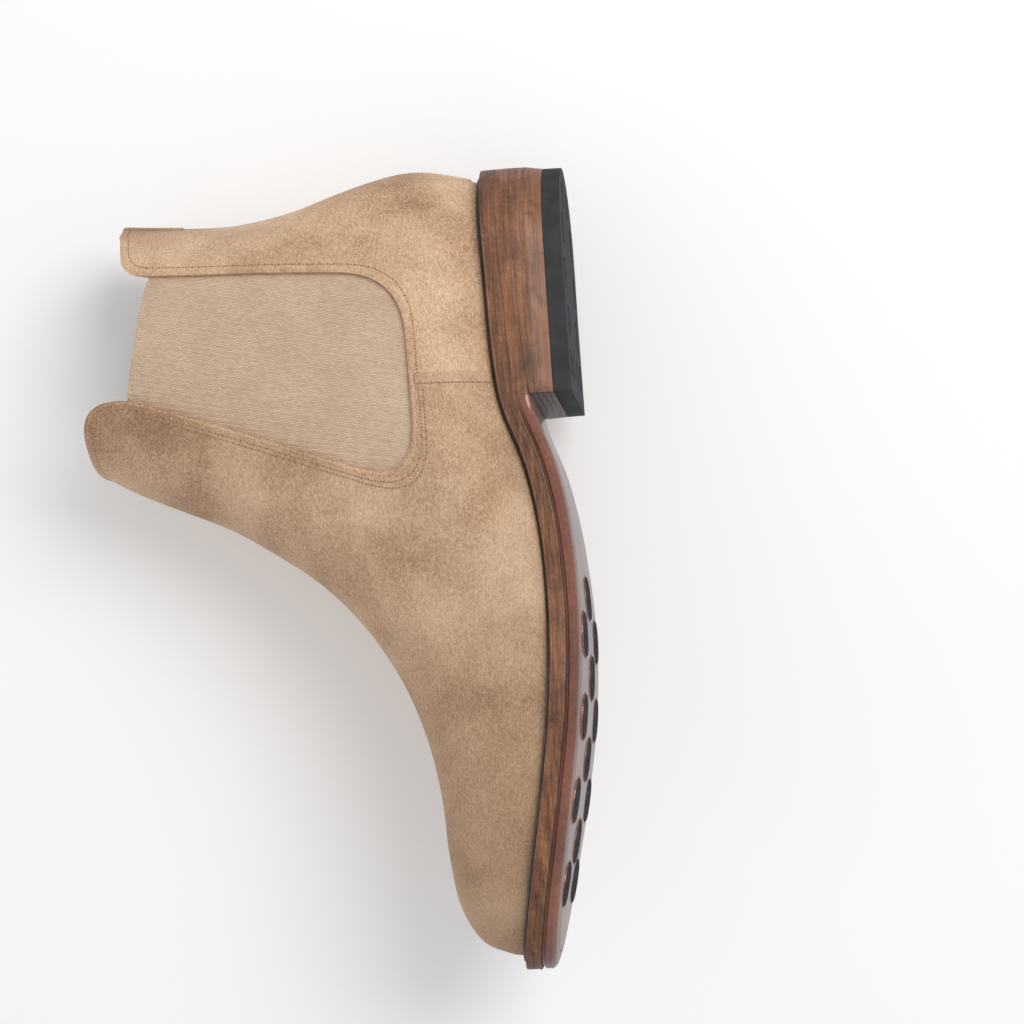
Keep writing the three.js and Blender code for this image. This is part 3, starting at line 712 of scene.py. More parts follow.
def suede_pieces():
    face = shell("vamp_suede", 0, SUEDE)
    medial = copy_of(face, "quarter_medial_suede")
    lateral = copy_of(face, "quarter_lateral_suede")
    cut(face, bar(VAMP), "INTERSECT")
    quarter_bar = bar(QUARTER, 0.05, 80)
    cut(medial, quarter_bar, "INTERSECT")
    cut(lateral, bar(QUARTER, -80, -0.05), "INTERSECT")
    for piece in (face, medial, lateral):
        smooth_shade(piece, 40)
    return face, medial, lateral


def gores():
    depth = 1.9 - PUFF * ease(inside_window(GRID[..., 0], GRID[..., 2]) / 16)
    medial = shell("gore_medial_elastic", depth, 3.4)
    lateral = copy_of(medial, "gore_lateral_elastic")
    top_back, top_front = WINDOW[0], WINDOW[1]
    outline = [
        (top_back[0] - TUCK, top_back[1] - 1.3, 0),
        (top_front[0] + TUCK, top_front[1] + 1.3, 0),
        (98.7, 139, 20),
        (134, 51.4, 20),
        (37.6, 54.2, 20),
    ]
    cut(medial, bar(outline, 0.05, 80), "INTERSECT")
    cut(lateral, bar(outline, -80, -0.05), "INTERSECT")
    for piece in (medial, lateral):
        smooth_shade(piece, 40)
    return medial, lateral


def gore_tops():
    """The light woven edge along the top of each gore."""
    pieces = []
    for side in SIDES:
        xs = np.linspace(WINDOW[0][0] - 1, WINDOW[1][0] + 1.5, 60)
        rise = (WINDOW[1][1] - WINDOW[0][1]) / (WINDOW[1][0] - WINDOW[0][0])
        found = [on_side(side, x, WINDOW[0][1] + (x - WINDOW[0][0]) * rise - 0.2) for x in xs]
        points, normals = apart(found)
        line = points - normals * 2.3
        pieces.append(sweep(f"gore_{side}_selvedge", line, normals, oval(0.75, 1.15, 0), False, 3))
    return pieces


def seam_line(side, x_offset, z_top, z_bottom, count=40):
    found = [on_side(side, SIDE_SEAM_X + x_offset, z) for z in np.linspace(z_top, z_bottom, count)]
    return apart(found)


def backstay():
    """The strip sewn over the back seam."""
    low, high = feather(0) + 4.5, COLLAR_BACK - 2
    across = np.array([-1, -0.94, -0.8, -0.4, 0, 0.4, 0.8, 0.94, 1]) * STRIP_HALF
    grid, normals = back_patch(np.linspace(low, high, 70), across)
    thickness = np.array([0.2, 0.55, 0.75, 0.8, 0.8, 0.8, 0.75, 0.55, 0.2])
    return grid_solid("backstay_suede", grid, normals, thickness, -0.1)


def back_patch(heights, across):
    grid, normals = [], []
    for z in heights:
        found = [hit((-80, y + 0.013, z), (1, 0, 0)) for y in across]
        grid.append([p for p, _ in found])
        normals.append([n for _, n in found])
    grid, normals = np.array(grid), np.array(normals)
    for _ in range(6):
        normals[1:-1] = 0.5 * normals[1:-1] + 0.25 * (normals[:-2] + normals[2:])
    return grid, normals / np.linalg.norm(normals, axis=2)[..., None]


def back_tab():
    """The tab folded over the collar's back edge."""
    across = np.array([-1, -0.96, -0.8, -0.4, 0, 0.4, 0.8, 0.96, 1]) * TAB_HALF
    outside, out_ways = back_patch(np.linspace(COLLAR_BACK - TAB_DROP, COLLAR_BACK - 0.5, 24), across)
    stand = np.array([0.1, 0.4, 0.55, 0.6, 0.6, 0.6, 0.55, 0.4, 0.1])[:, None]
    rows = list(outside + out_ways * stand)
    over = outside[-1]
    way = out_ways[-1].copy()
    way[:, 2] = 0
    way /= np.linalg.norm(way, axis=1)[:, None]
    middle = over - way * 2.4
    for turn in np.linspace(0.2, math.pi - 0.2, 9):
        rows.append(middle + way * 3.0 * math.cos(turn) + np.array([0, 0, 1.5 * math.sin(turn)]))
    rows += list((outside - out_ways * 5.55)[::-1])
    grid = np.array(rows)
    normals = sheet_normals(grid)
    if normals[0, 4] @ out_ways[0, 4] < 0:
        normals = -normals
    thickness = np.array([0.12, 0.36, 0.45, 0.45, 0.45, 0.45, 0.45, 0.36, 0.12])
    return grid_solid("back_tab_suede", grid, normals, thickness, -thickness)


def linings():
    """The two linings, which come closer under the suede along the collar."""
    x, z = GRID[..., 0], GRID[..., 2]
    in_gore = ease((inside_window(x, z) + TUCK + 3) / 3)
    rim = np.where(x > 60, COLLAR_FRONT, COLLAR_BACK)
    near_rim = ease((z - rim + 16) / 12) * (1 - in_gore)
    outside = mix(3.7, 1.75, near_rim)
    vamp = shell("vamp_lining_leather", outside, LINING_INSIDE)
    quarter = copy_of(vamp, "quarter_lining_leather")
    rim_z = COLLAR_FRONT - 0.7
    collar = [
        (FAR_FRONT, FAR_BELOW, 0),
        (83.1, FAR_BELOW, 0),
        (83.1, 165.4, 0),
        (83.4, rim_z, 14),
        (FAR_FRONT, rim_z, 0),
    ]
    cut(vamp, bar(collar), "INTERSECT")
    back = [
        (82.9, FAR_BELOW, 0),
        (FAR_BACK, FAR_BELOW, 0),
        (FAR_BACK, 169.3, 0),
        (12.5, 169.3, 3),
        (34.5, 165.4, 7),
        (36.5, 155.4, 2),
        (82.9, 165.4, 0),
    ]
    cut(quarter, bar(back), "INTERSECT")
    for piece in (vamp, quarter):
        smooth_shade(piece, 40)
    return vamp, quarter


# ---------- the sole ----------
SPOTS = 150


def base_ring(inset):
    """A sole outline, out along the lateral side and back along the medial, with its outward ways."""
    x = inset + (LENGTH - 2 * inset) * (1 - np.cos(np.linspace(0, np.pi, SPOTS + 1))) / 2
    lateral = np.stack([x, -half_width(x, "lateral", inset)], 1)
    medial = np.stack([x, half_width(x, "medial", inset)], 1)
    ring = np.concatenate([lateral, medial[-2:0:-1]])
    run = np.roll(ring, -1, axis=0) - np.roll(ring, 1, axis=0)
    out = np.stack([run[:, 1], -run[:, 0]], 1)
    return ring, out / np.linalg.norm(out, axis=1)[:, None]


def forward(x):
    """Nothing over the heel, all of it forward of the heel's breast."""
    return ease((x - HEEL_LENGTH + 6) / 22)


def layer(name, inset, section, capped=True, columns=14, smooth=28):
    """A layer of the sole. Its section runs round its edge from the top to the underside: how deep
    inside the outline, how much deeper forward of the heel, and the height."""
    ring, out = base_ring(inset)
    loops = []
    for depth, more, height in section:
        flat = ring - out * (depth + more * forward(ring[:, 0]))[:, None]
        loops.append(np.column_stack([flat, height(flat[:, 0], flat[:, 1])]))
    count = len(ring)
    faces = rings_of_quads(len(loops), count, not capped)
    points = [np.concatenate(loops)]
    if capped:
        total = len(points[0])
        for loop, (_, _, height) in ((loops[0], section[0]), (loops[-1], section[-1])):
            ends = loop[:SPOTS + 1]
            partners = loop[-np.arange(SPOTS + 1) % count]
            share = np.linspace(0, 1, columns + 1)[None, :, None]
            cap = mix(ends[:, None], partners[:, None], share)
            cap[..., 2] = height(cap[..., 0], cap[..., 1])
            points.append(cap.reshape(-1, 3))
            faces += [tuple(total + k for k in f) for f in rows_of_quads(SPOTS + 1, columns + 1, False)]
            total += cap.shape[0] * cap.shape[1]
    return mesh_piece(name, np.concatenate(points), faces, smooth)


EDGE_TOP = OUTSOLE + CROWN


def outsole():
    top = above(EDGE_TOP)
    section = [
        (2.0, 0, top),
        (0.15, 1.2, top),
        (0.03, 1.25, above(EDGE_TOP - 0.75)),
        (0, 0.4, above(EDGE_TOP - 1.0)),
        (0, 0.12, above(EDGE_TOP - 1.25)),
        (0, 0.05, above(EDGE_TOP - 2.1)),
        (0, -0.08, crowned(1.95)),
        (0, -0.05, crowned(1.75)),
        (0, 0.15, crowned(1.6)),
        (0, 0.6, crowned(1.0)),
        (0, 1.2, crowned(0.6)),
        (0.02, 2.2, crowned(0.3)),
        (0.04, 3.4, crowned(0.12)),
        (0.2, 4.8, crowned(0.02)),
        (1.0, 4.6, crowned(0)),
        (1.25, 4.6, crowned(0.4)),
        (1.7, 4.6, crowned(0.42)),
        (2.0, 4.6, crowned(0)),
        (4, 5.6, crowned(0)),
    ]
    piece = layer("outsole_leather", 0, section)
    pits = [pit_tool(x, y) for x, y in STUDS]
    alone(pits[0])
    for pit in pits:
        pit.select_set(True)
    bpy.ops.object.join()
    cut(piece, pits[0])
    smooth_shade(piece, 28)
    return piece


def midsole():
    low, high = EDGE_TOP + 0.08, EDGE_TOP + GAP + MIDSOLE
    section = [
        (2, 0, above(high)),
        (0.1, 0, above(high)),
        (0, 0, above(high - 0.1)),
        (0, 0, above(low + 1.5)),
        (0, 0.05, above(low + 1.15)),
        (0, -0.22, above(low + 0.9)),
        (0, -0.34, above(low + 0.6)),
        (0, -0.22, above(low + 0.3)),
        (0, 0.2, above(low + 0.08)),
        (0.1, 0.6, above(low)),
        (2, 0, above(low)),
    ]
    return layer("midsole_leather", 0, section)


def welt():
    low, high = EDGE_TOP + GAP + MIDSOLE + 0.05, WELT_TOP
    section = [
        (11.3, 0, above(high)),
        (1.1, 0, above(high)),
        (0.65, 0.15, above(high - 0.06)),
        (0.25, 0, above(high - 0.02)),
        (0.06, 0, above(high - 0.18)),
        (0, 0, above(high - 0.45)),
        (0.12, 0.04, above(high - 0.75)),
        (0, 0, above(high - 1.0)),
        (0, 0, above(low + 0.1)),
        (0.1, 0, above(low)),
        (11.3, 0, above(low)),
    ]
    return layer("welt_leather", 0, section, capped=False)


def rand():
    low = WELT_TOP + 0.05
    section = [
        (4.75, 0, above(low)),
        (4.75, 0, above(low + 0.7)),
        (4.3, 0, above(low + 1.25)),
        (3.7, 0, above(low + 1.45)),
        (3.1, 0, above(low + 1.25)),
        (2.75, 0, above(low + 0.8)),
        (2.7, 0, above(low)),
    ]
    return layer("rand_leather", 0, section, capped=False)


def sock():
    low = feather(100.0) - sole_bottom(100.0) + 3.3
    section = [
        (0, 0, above(low + 1.2)),
        (0.15, 0, above(low + 1.1)),
        (0.15, 0, above(low + 0.1)),
        (0, 0, above(low)),
    ]
    return layer("sock_leather", 11.5, section)


def welt_stitches():
    ring, _ = base_ring(1.9)
    ring = np.roll(ring, -1, axis=0)
    ring = ring[ring[:, 0] > HEEL_LENGTH + 14]
    points = np.column_stack([ring, sole_bottom(ring[:, 0]) + WELT_TOP])
    normals = np.zeros_like(points)
    normals[:, 2] = 1
    return stitches("welt_stitches", points, normals, pitch=3.4, length=2.5, thick=0.34, sink=0.2)


# ---------- the heel ----------
def breast_cut(piece, x):
    """Cuts a heel layer straight across its front."""
    alone(piece)
    bpy.ops.object.mode_set(mode="EDIT")
    bpy.ops.mesh.select_all(action="SELECT")
    spot = place([(x, 0, 0)])[0]
    bpy.ops.mesh.bisect(plane_co=spot, plane_no=(1, 0, 0), use_fill=True, clear_outer=True)
    bpy.ops.object.mode_set(mode="OBJECT")


def eased_edges(piece, width, angle=50, segments=2):
    bevel = piece.modifiers.new("edges", "BEVEL")
    bevel.width = width * MM
    bevel.segments = segments
    bevel.limit_method = "ANGLE"
    bevel.angle_limit = math.radians(angle)
    bevel.harden_normals = False
    apply_modifiers(piece)
    smooth_shade(piece, 30)


def level(z):
    return lambda x, y: np.full(np.shape(x), float(z))


def heel_layer(name, top, bottom, inset_top, inset_bottom, soft):
    """One layer of the heel, a little narrower below."""
    middle = (inset_top + inset_bottom) / 2
    section = [
        (inset_top - middle, 0, top),
        (inset_bottom - middle, 0, bottom),
    ]
    piece = layer(name, middle, section, columns=10)
    breast_cut(piece, HEEL_LENGTH)
    eased_edges(piece, soft)
    return piece


def heel():
    pieces = {}
    half = HEEL_TAPER / 2
    seam = 0.02
    bottoms = [TOP_LIFT + GAP + i * (LIFT + GAP) for i in range(LIFTS + 1)]
    for number in range(LIFTS):
        i = LIFTS - 1 - number
        inset = HEEL_TAPER * (number + 1)
        top, bottom = bottoms[i] + LIFT + GAP / 2 - seam, bottoms[i] - GAP / 2 + seam
        name = f"heel_lift_{number + 1}_leather"
        pieces[name] = heel_layer(name, level(top), level(bottom), inset - half, inset + half, 0.1)
    pieces["heel_wedge_leather"] = heel_layer(
        "heel_wedge_leather", crowned(-0.04), level(bottoms[-1] - GAP / 2 + seam), 0, half, 0.1
    )
    inset = HEEL_TAPER * (LIFTS + 1)
    piece = heel_layer("top_lift_rubber", level(TOP_LIFT), level(0), inset - half, inset, 0.35)
    for x, y, length, width in TREAD_SLOTS:
        for sign in (1, -1):
            cut(piece, slot_tool(x, sign * y, length, width))
    smooth_shade(piece, 30)
    pieces["top_lift_rubber"] = piece
    return pieces


# x, y, length and width of each slot; each has a twin on the other side.
TREAD_SLOTS = [
    (14, 9, 10, 4),
    (28, 17, 12, 5),
    (46, 20, 12, 5),
    (64, 17, 12, 5),
    (80, 20, 10, 5),
    (80, 8, 10, 4),
]
TREAD_DEPTH = 1.6


def slot_tool(x, y, length, width):
    spot = place([(x, y, 0)])[0]
    sides = np.array([length, width, 2 * TREAD_DEPTH]) * MM
    bpy.ops.mesh.primitive_cube_add(size=1, location=spot, scale=sides)
    tool = settle(bpy.context.active_object)
    bevel = tool.modifiers.new("round", "BEVEL")
    bevel.width = 1.2 * MM
    bevel.segments = 4
    bevel.limit_method = "ANGLE"
    apply_modifiers(tool)
    return tool


# ---------- the studs ----------
STUDS = [(167 + i * STUD_PITCH, 0) for i in range(4)]
STUDS += [(182 + i * STUD_PITCH, side * STUD_ROW) for i in range(3) for side in (1, -1)]
STUDS += [(272, side * STUD_ROW * 0.7) for side in (1, -1)]


def stud_frame(x, y):
    """Where a stud sits: out of the sole along its own Z."""
    slope = sole_bottom(x + 0.5) - sole_bottom(x - 0.5)
    along = Vector((1, 0, float(slope))).normalized()
    out = Vector((along.z, 0, -along.x))
    side = out.cross(along)
    turn = Matrix((along, side, out)).transposed().to_4x4()
    spot = place([(x, y, float(crowned(0)(x, y)))])[0]
    return Matrix.Translation(spot) @ turn


def pit_tool(x, y):
    bpy.ops.mesh.primitive_cylinder_add(vertices=64, radius=STUD_RADIUS * MM, depth=2 * STUD_PIT * MM)
    tool = bpy.context.active_object
    tool.matrix_world = stud_frame(x, y)
    return settle(tool)


def top_faces(piece, height, radius):
    """Selects the faces of a piece, in edit mode, that lie at a height and within a radius."""
    work = bmesh.from_edit_mesh(piece.data)
    for face in work.faces:
        middle = face.calc_center_median()
        near = math.hypot(middle.x, middle.y) < radius * MM
        face.select = near and abs(middle.z - height * MM) < 0.02 * MM
    bmesh.update_edit_mesh(piece.data)


def stud_model():
    """A rubber stud: a round button with a rounded rim, six holes and a raised cross."""
    radius, height = STUD_RADIUS - 1.0, STUD_PIT + STUD_PROUD - GAP
    bpy.ops.mesh.primitive_cylinder_add(vertices=48, radius=radius * MM, depth=height * MM)
    button = bpy.context.active_object
    button.location.z = (STUD_PROUD - height / 2) * MM
    settle(button)
    alone(button)
    bpy.ops.object.mode_set(mode="EDIT")
    bpy.ops.mesh.select_mode(type="FACE")
    top_faces(button, STUD_PROUD, 1)
    bpy.ops.mesh.inset(thickness=1.1 * MM, depth=0)
    bpy.ops.mesh.inset(thickness=0.25 * MM, depth=-0.5 * MM)
    bpy.ops.mesh.inset(thickness=4.2 * MM, depth=0)
    bpy.ops.mesh.inset(thickness=0.3 * MM, depth=0.55 * MM)
    bpy.ops.object.mode_set(mode="OBJECT")
    eased_edges(button, 0.22, 40, 3)
    for i in range(6):
        turn = math.radians(60 * i + 30)
        reach = 4.6 * MM
        spot = (reach * math.cos(turn), reach * math.sin(turn), 0)
        bpy.ops.mesh.primitive_cylinder_add(vertices=20, radius=1.15 * MM, depth=3.2 * MM, location=spot)
        cut(button, settle(bpy.context.active_object))
    for turn in (0, math.pi / 2):
        way = {"rotation": (0, 0, turn), "location": (0, 0, 0.0004)}
        bpy.ops.mesh.primitive_cube_add(size=1, scale=(0.0042, 0.0011, 0.0011), **way)
        arm = settle(bpy.context.active_object)
        eased_edges(arm, 0.25, 40, 2)
        cut(button, arm, "UNION")
    smooth_shade(button, 35)
    return button


def rim_model():
    """The bright lining of a stud's pit."""
    sizes = {"radius": (STUD_RADIUS - 0.02) * MM, "depth": 2.4 * MM}
    bpy.ops.mesh.primitive_cylinder_add(vertices=64, end_fill_type="NOTHING", **sizes)
    rim = bpy.context.active_object
    rim.location.z = -1.1 * MM
    settle(rim)
    wall = rim.modifiers.new("wall", "SOLIDIFY")
    wall.thickness = 0.5 * MM
    wall.offset = -1
    apply_modifiers(rim)
    eased_edges(rim, 0.16, 50, 2)
    return rim


def studs():
    button, rim = stud_model(), rim_model()
    pieces = []
    for number, (x, y) in enumerate(STUDS, 1):
        for model, kind in ((button, "rubber"), (rim, "rim")):
            piece = copy_of(model, f"stud_{number}_{kind}")
            piece.matrix_world = stud_frame(x, y)
            settle(piece)
            pieces.append((piece, number, kind))
    bpy.data.objects.remove(button)
    bpy.data.objects.remove(rim)
    return pieces


# ---------- finishes ----------
class Finish:
    """A procedural material, built node by node round a Principled shader."""

    def __init__(self, name, rough, **fixed):
        self.material = bpy.data.materials.new(name)
        self.material.use_nodes = True
        self.tree = self.material.node_tree
        self.shader = self.tree.nodes["Principled BSDF"]
        self.coords = self.tree.nodes.new("ShaderNodeTexCoord").outputs["Object"]
        self.shader.inputs["Roughness"].default_value = rough
        for socket, value in fixed.items():
            self.shader.inputs[socket.replace("_", " ")].default_value = value

    def node(self, kind, inputs=(), **settings):
        node = self.tree.nodes.new(kind)
        for key, value in settings.items():
            setattr(node, key, value)
        for key, value in dict(inputs).items():
            self.feed(value, node.inputs[key])
        return node

    def feed(self, value, socket):
        if isinstance(value, bpy.types.NodeSocket):
            self.tree.links.new(value, socket)
        elif value is not None:
            socket.default_value = value

    def stretched(self, x, y, z, turn=(0, 0, 0)):
        inputs = {"Vector": self.coords, "Scale": (x, y, z), "Rotation": turn}
        return self.node("ShaderNodeMapping", inputs).outputs[0]

    def noise(self, scale, detail=3.0, rough=0.5, vector=None, twist=0.0):
        inputs = {
            "Vector": vector or self.coords,
            "Scale": scale,
            "Detail": detail,
            "Roughness": rough,
            "Distortion": twist,
        }
        return self.node("ShaderNodeTexNoise", inputs).outputs[0]

    def ramp(self, factor, *stops):
        node = self.node("ShaderNodeValToRGB", {0: factor})
        ramp = node.color_ramp
        while len(ramp.elements) < len(stops):
            ramp.elements.new(0.5)
        for element, (spot, colour) in zip(ramp.elements, stops):
            element.position = spot
            element.color = (*colour, 1) if len(colour) == 3 else colour
        return node.outputs[0]

    def range(self, value, low, high, to_low=0.0, to_high=1.0):
        inputs = {0: value, 1: low, 2: high, 3: to_low, 4: to_high}
        return self.node("ShaderNodeMapRange", inputs).outputs[0]

    def math(self, operation, a, b=0.0):
        return self.node("ShaderNodeMath", {0: a, 1: b}, operation=operation).outputs[0]

    def mix(self, factor, a, b):
        node = self.node("ShaderNodeMix", data_type="RGBA", blend_type="MIX")
        self.feed(factor, node.inputs[0])
        for value, socket in ((a, node.inputs[6]), (b, node.inputs[7])):
            self.feed(value if isinstance(value, bpy.types.NodeSocket) else (*value, 1), socket)
        return node.outputs[2]

    def axis(self, name):
        return self.node("ShaderNodeSeparateXYZ", {0: self.coords}).outputs[name]

    def bump(self, height, depth, strength=1.0, under=None):
        inputs = {"Height": height, "Distance": depth * MM, "Strength": strength, "Normal": under}
        return self.node("ShaderNodeBump", inputs).outputs[0]

    def done(self, colour=None, rough=None, normal=None):
        self.feed(colour, self.shader.inputs["Base Color"])
        self.feed(rough, self.shader.inputs["Roughness"])
        self.feed(normal, self.shader.inputs["Normal"])
        return self.material


def suede_finish(name, tone_and_painted_light=1.0, nap=1.0):
    f = Finish(name, 0.95, Sheen_Weight=0.25, Sheen_Roughness=0.5, Specular_IOR_Level=0.15)
    f.shader.inputs["Sheen Tint"].default_value = (0.95, 0.86, 0.76, 1)
    clouds = f.noise(26, 4, 0.55, twist=0.3)
    brushed = f.noise(1.0, 4, 0.7, f.stretched(620, 1000, 1300, (0, 0.5, 0)), 0.4)
    fibres = f.noise(1700, 4, 0.75)
    amount = f.math("ADD", f.math("MULTIPLY", clouds, 0.42), f.math("MULTIPLY", brushed, 0.36))
    amount = f.math("ADD", amount, f.math("MULTIPLY", fibres, 0.36))
    # tone_and_painted_light scales every colour: the quarters' 1.16 is a painted light on the heel side, the
    # folded pieces' 1.1 makes their suede paler.
    dark = tuple(tone_and_painted_light * c for c in (0.335, 0.190, 0.108))
    mid = tuple(tone_and_painted_light * c for c in (0.57, 0.366, 0.226))
    light = tuple(tone_and_painted_light * c for c in (0.80, 0.57, 0.385))
    colour = f.ramp(amount, (0.46, dark), (0.57, mid), (0.69, light))
    specks = f.range(f.noise(1250, 2, 0.5), 0.66, 0.74)
    colour = f.mix(f.math("MULTIPLY", specks, 0.4), colour, tuple(1.35 * c for c in light))
    pores = f.range(f.noise(1450, 2, 0.5), 0.36, 0.28)
    colour = f.mix(f.math("MULTIPLY", pores, 0.4), colour, tuple(0.6 * c for c in dark))
    # Painted shade: the suede is darkened towards the toe, where the light falls off.
    toe = f.range(f.axis("X"), -0.015, 0.13)
    colour = f.mix(f.math("MULTIPLY", toe, 0.46), colour, tuple(0.85 * c for c in dark))
    height = f.math("ADD", f.math("MULTIPLY", fibres, 0.5), f.math("MULTIPLY", brushed, 0.6))
    return f.done(colour, None, f.bump(height, 0.55 * nap, 0.75))


def elastic_finish(name):
    f = Finish(name, 0.82, Sheen_Weight=0.15, Sheen_Roughness=0.4, Specular_IOR_Level=0.2)
    along = f.stretched(1, 1, 1, (0, math.radians(-78), 0))
    inputs = {
        "Color1": (0.86, 0.65, 0.465, 1),
        "Color2": (0.68, 0.495, 0.34, 1),
        "Mortar": (0.38, 0.25, 0.155, 1),
        "Scale": 1.0,
        "Mortar Size": 0.00009,
        "Mortar Smooth": 0.7,
        "Bias": -0.2,
        "Brick Width": 0.0016,
        "Row Height": 0.0006,
    }
    flat = f.node("ShaderNodeSeparateXYZ", {0: along})
    across = f.node("ShaderNodeCombineXYZ", {0: flat.outputs["X"], 1: flat.outputs["Z"], 2: 0.0}).outputs[0]
    inputs["Vector"] = across
    weave = f.node("ShaderNodeTexBrick", inputs, offset=0.5)
    rib = f.math("SINE", f.math("MULTIPLY", flat.outputs["Z"], 2 * math.pi / 0.0018))
    rib = f.range(rib, -1, 1)
    shade = f.mix(f.math("MULTIPLY", rib, 0.08), weave.outputs[0], (0.72, 0.55, 0.40))
    worn = f.noise(60, 3, 0.5)
    colour = f.mix(f.range(worn, 0.35, 0.7, 0, 0.2), shade, (0.44, 0.31, 0.205))
    gaps = f.math("SUBTRACT", 1.0, weave.outputs[1])
    height = f.math("ADD", gaps, f.math("MULTIPLY", rib, 0.7))
    return f.done(colour, None, f.bump(height, 0.22, 0.7))


def thread_finish():
    f = Finish("thread", 0.6, Sheen_Weight=0.2, Sheen_Roughness=0.4, Specular_IOR_Level=0.3)
    twist = f.noise(1800, 2, 0.5)
    colour = f.ramp(twist, (0.35, (0.30, 0.185, 0.105)), (0.65, (0.52, 0.35, 0.22)))
    return f.done(colour, None, f.bump(twist, 0.15, 0.6))


def leather_finish(name, colours, rough, grain=900.0, coat=0.0, depth=0.12, cloud=45.0):
    """Grained leather: light, middle and dark colours, with softly mottled dye."""
    f = Finish(name, rough, Coat_Weight=coat, Coat_Roughness=0.22, Specular_IOR_Level=0.4)
    dark, mid, light = colours
    dye = f.noise(cloud, 5, 0.6, twist=0.5)
    fine = f.noise(grain, 4, 0.6)
    amount = f.math("ADD", f.math("MULTIPLY", dye, 0.65), f.math("MULTIPLY", fine, 0.35))
    colour = f.ramp(amount, (0.36, dark), (0.52, mid), (0.68, light))
    inputs = {"Vector": f.coords, "Scale": grain * 0.8}
    cells = f.node("ShaderNodeTexVoronoi", inputs, feature="SMOOTH_F1").outputs[0]
    height = f.math("ADD", f.math("MULTIPLY", cells, 0.6), fine)
    wear = f.range(dye, 0.3, 0.7, rough + 0.08, rough - 0.06)
    return f.done(colour, wear, f.bump(height, depth, 0.6))


def streaked_finish(name, colours, rough=0.42, streak=1500.0, coat=0.15, rise=None):
    """A burnished leather edge, with the streaks of its layers running level along it."""
    f = Finish(name, rough, Coat_Weight=coat, Coat_Roughness=0.3, Specular_IOR_Level=0.4)
    dark, mid, light = colours
    runs = f.noise(1.0, 5, 0.65, f.stretched(70, 70, streak), 0.3)
    broad = f.noise(1.0, 3, 0.6, f.stretched(24, 24, streak * 0.28), 0.4)
    dye = f.noise(70, 4, 0.6, twist=0.6)
    grain = f.noise(620, 4, 0.7)
    amount = f.math("ADD", f.math("MULTIPLY", runs, 0.3), f.math("MULTIPLY", broad, 0.28))
    amount = f.math("ADD", amount, f.math("MULTIPLY", dye, 0.22))
    amount = f.math("ADD", amount, f.math("MULTIPLY", grain, 0.2))
    colour = f.ramp(amount, (0.38, dark), (0.50, mid), (0.62, light))
    if rise:
        low, high, below = rise
        colour = f.mix(f.range(f.axis("Z"), low, high, 0.55, 0.0), colour, below)
    stains = f.range(f.noise(130, 3, 0.6), 0.58, 0.72, 0, 0.55)
    colour = f.mix(stains, colour, tuple(0.6 * c for c in dark))
    # Painted shade: the heel's breast, the face turned forward under the arch, is painted nearly black.
    way = f.node("ShaderNodeTexCoord").outputs["Normal"]
    ahead = f.node("ShaderNodeSeparateXYZ", {0: way}).outputs["X"]
    breast = f.math("MULTIPLY", f.range(ahead, 0.75, 0.9, 0, 0.8), f.range(f.axis("X"), 0.0, -0.02))
    colour = f.mix(breast, colour, (0.05, 0.034, 0.03))
    height = f.math("ADD", runs, f.math("MULTIPLY", f.noise(1300, 3, 0.6), 0.4))
    return f.done(colour, f.range(runs, 0.3, 0.7, rough + 0.1, rough - 0.08), f.bump(height, 0.14, 0.6))


def outsole_finish():
    f = Finish("outsole_leather", 0.3, Coat_Weight=0.85, Coat_Roughness=0.12, Specular_IOR_Level=0.5)
    dye = f.noise(26, 5, 0.6, twist=0.5)
    fine = f.noise(520, 4, 0.6)
    amount = f.math("ADD", f.math("MULTIPLY", dye, 0.7), f.math("MULTIPLY", fine, 0.3))
    stops = ((0.36, (0.13, 0.038, 0.022)), (0.52, (0.225, 0.072, 0.040)), (0.68, (0.34, 0.128, 0.070)))
    colour = f.ramp(amount, *stops)
    scuffs = f.noise(1.0, 3, 0.7, f.stretched(60, 700, 700, (0, 0, 0.3)))
    colour = f.mix(f.range(scuffs, 0.62, 0.75, 0, 0.35), colour, (0.42, 0.20, 0.13))
    rough = f.range(dye, 0.3, 0.7, 0.42, 0.3)
    height = f.math("ADD", f.math("MULTIPLY", fine, 0.5), dye)
    return f.done(colour, rough, f.bump(height, 0.25, 0.35))


def rubber_finish():
    f = Finish("rubber", 0.62, Specular_IOR_Level=0.35)
    fine = f.noise(1600, 3, 0.6)
    dust = f.noise(140, 4, 0.6)
    colour = f.ramp(dust, (0.35, (0.026, 0.025, 0.027)), (0.65, (0.044, 0.043, 0.046)))
    return f.done(colour, f.range(dust, 0.3, 0.7, 0.55, 0.72), f.bump(fine, 0.1, 0.5))


def rim_finish():
    f = Finish("stud_rim", 0.34, Metallic=0.35, Specular_IOR_Level=0.5, Coat_Weight=0.3)
    wear = f.noise(700, 4, 0.6)
    colour = f.ramp(wear, (0.35, (0.22, 0.062, 0.036)), (0.65, (0.44, 0.165, 0.095)))
    return f.done(colour, None, f.bump(wear, 0.08, 0.5))


# Painted shade for the stitch holes: a dark brown.
def hole_shade_finish():
    f = Finish("painted_hole_shade", 0.9, Specular_IOR_Level=0.1)
    return f.done(f.ramp(f.noise(900, 2, 0.5), (0.4, (0.20, 0.115, 0.065)), (0.6, (0.30, 0.18, 0.11))))


def cork_finish():
    f = Finish("cork", 0.85, Specular_IOR_Level=0.2)
    inputs = {"Vector": f.coords, "Scale": 520.0}
    grains = f.node("ShaderNodeTexVoronoi", inputs)
    shade = f.node("ShaderNodeSeparateColor", {0: grains.outputs["Color"]}).outputs[0]
    colour = f.ramp(shade, (0.0, (0.16, 0.085, 0.04)), (0.5, (0.36, 0.21, 0.11)), (1.0, (0.5, 0.33, 0.19)))
    return f.done(colour, None, f.bump(grains.outputs[0], 0.4, 0.7))


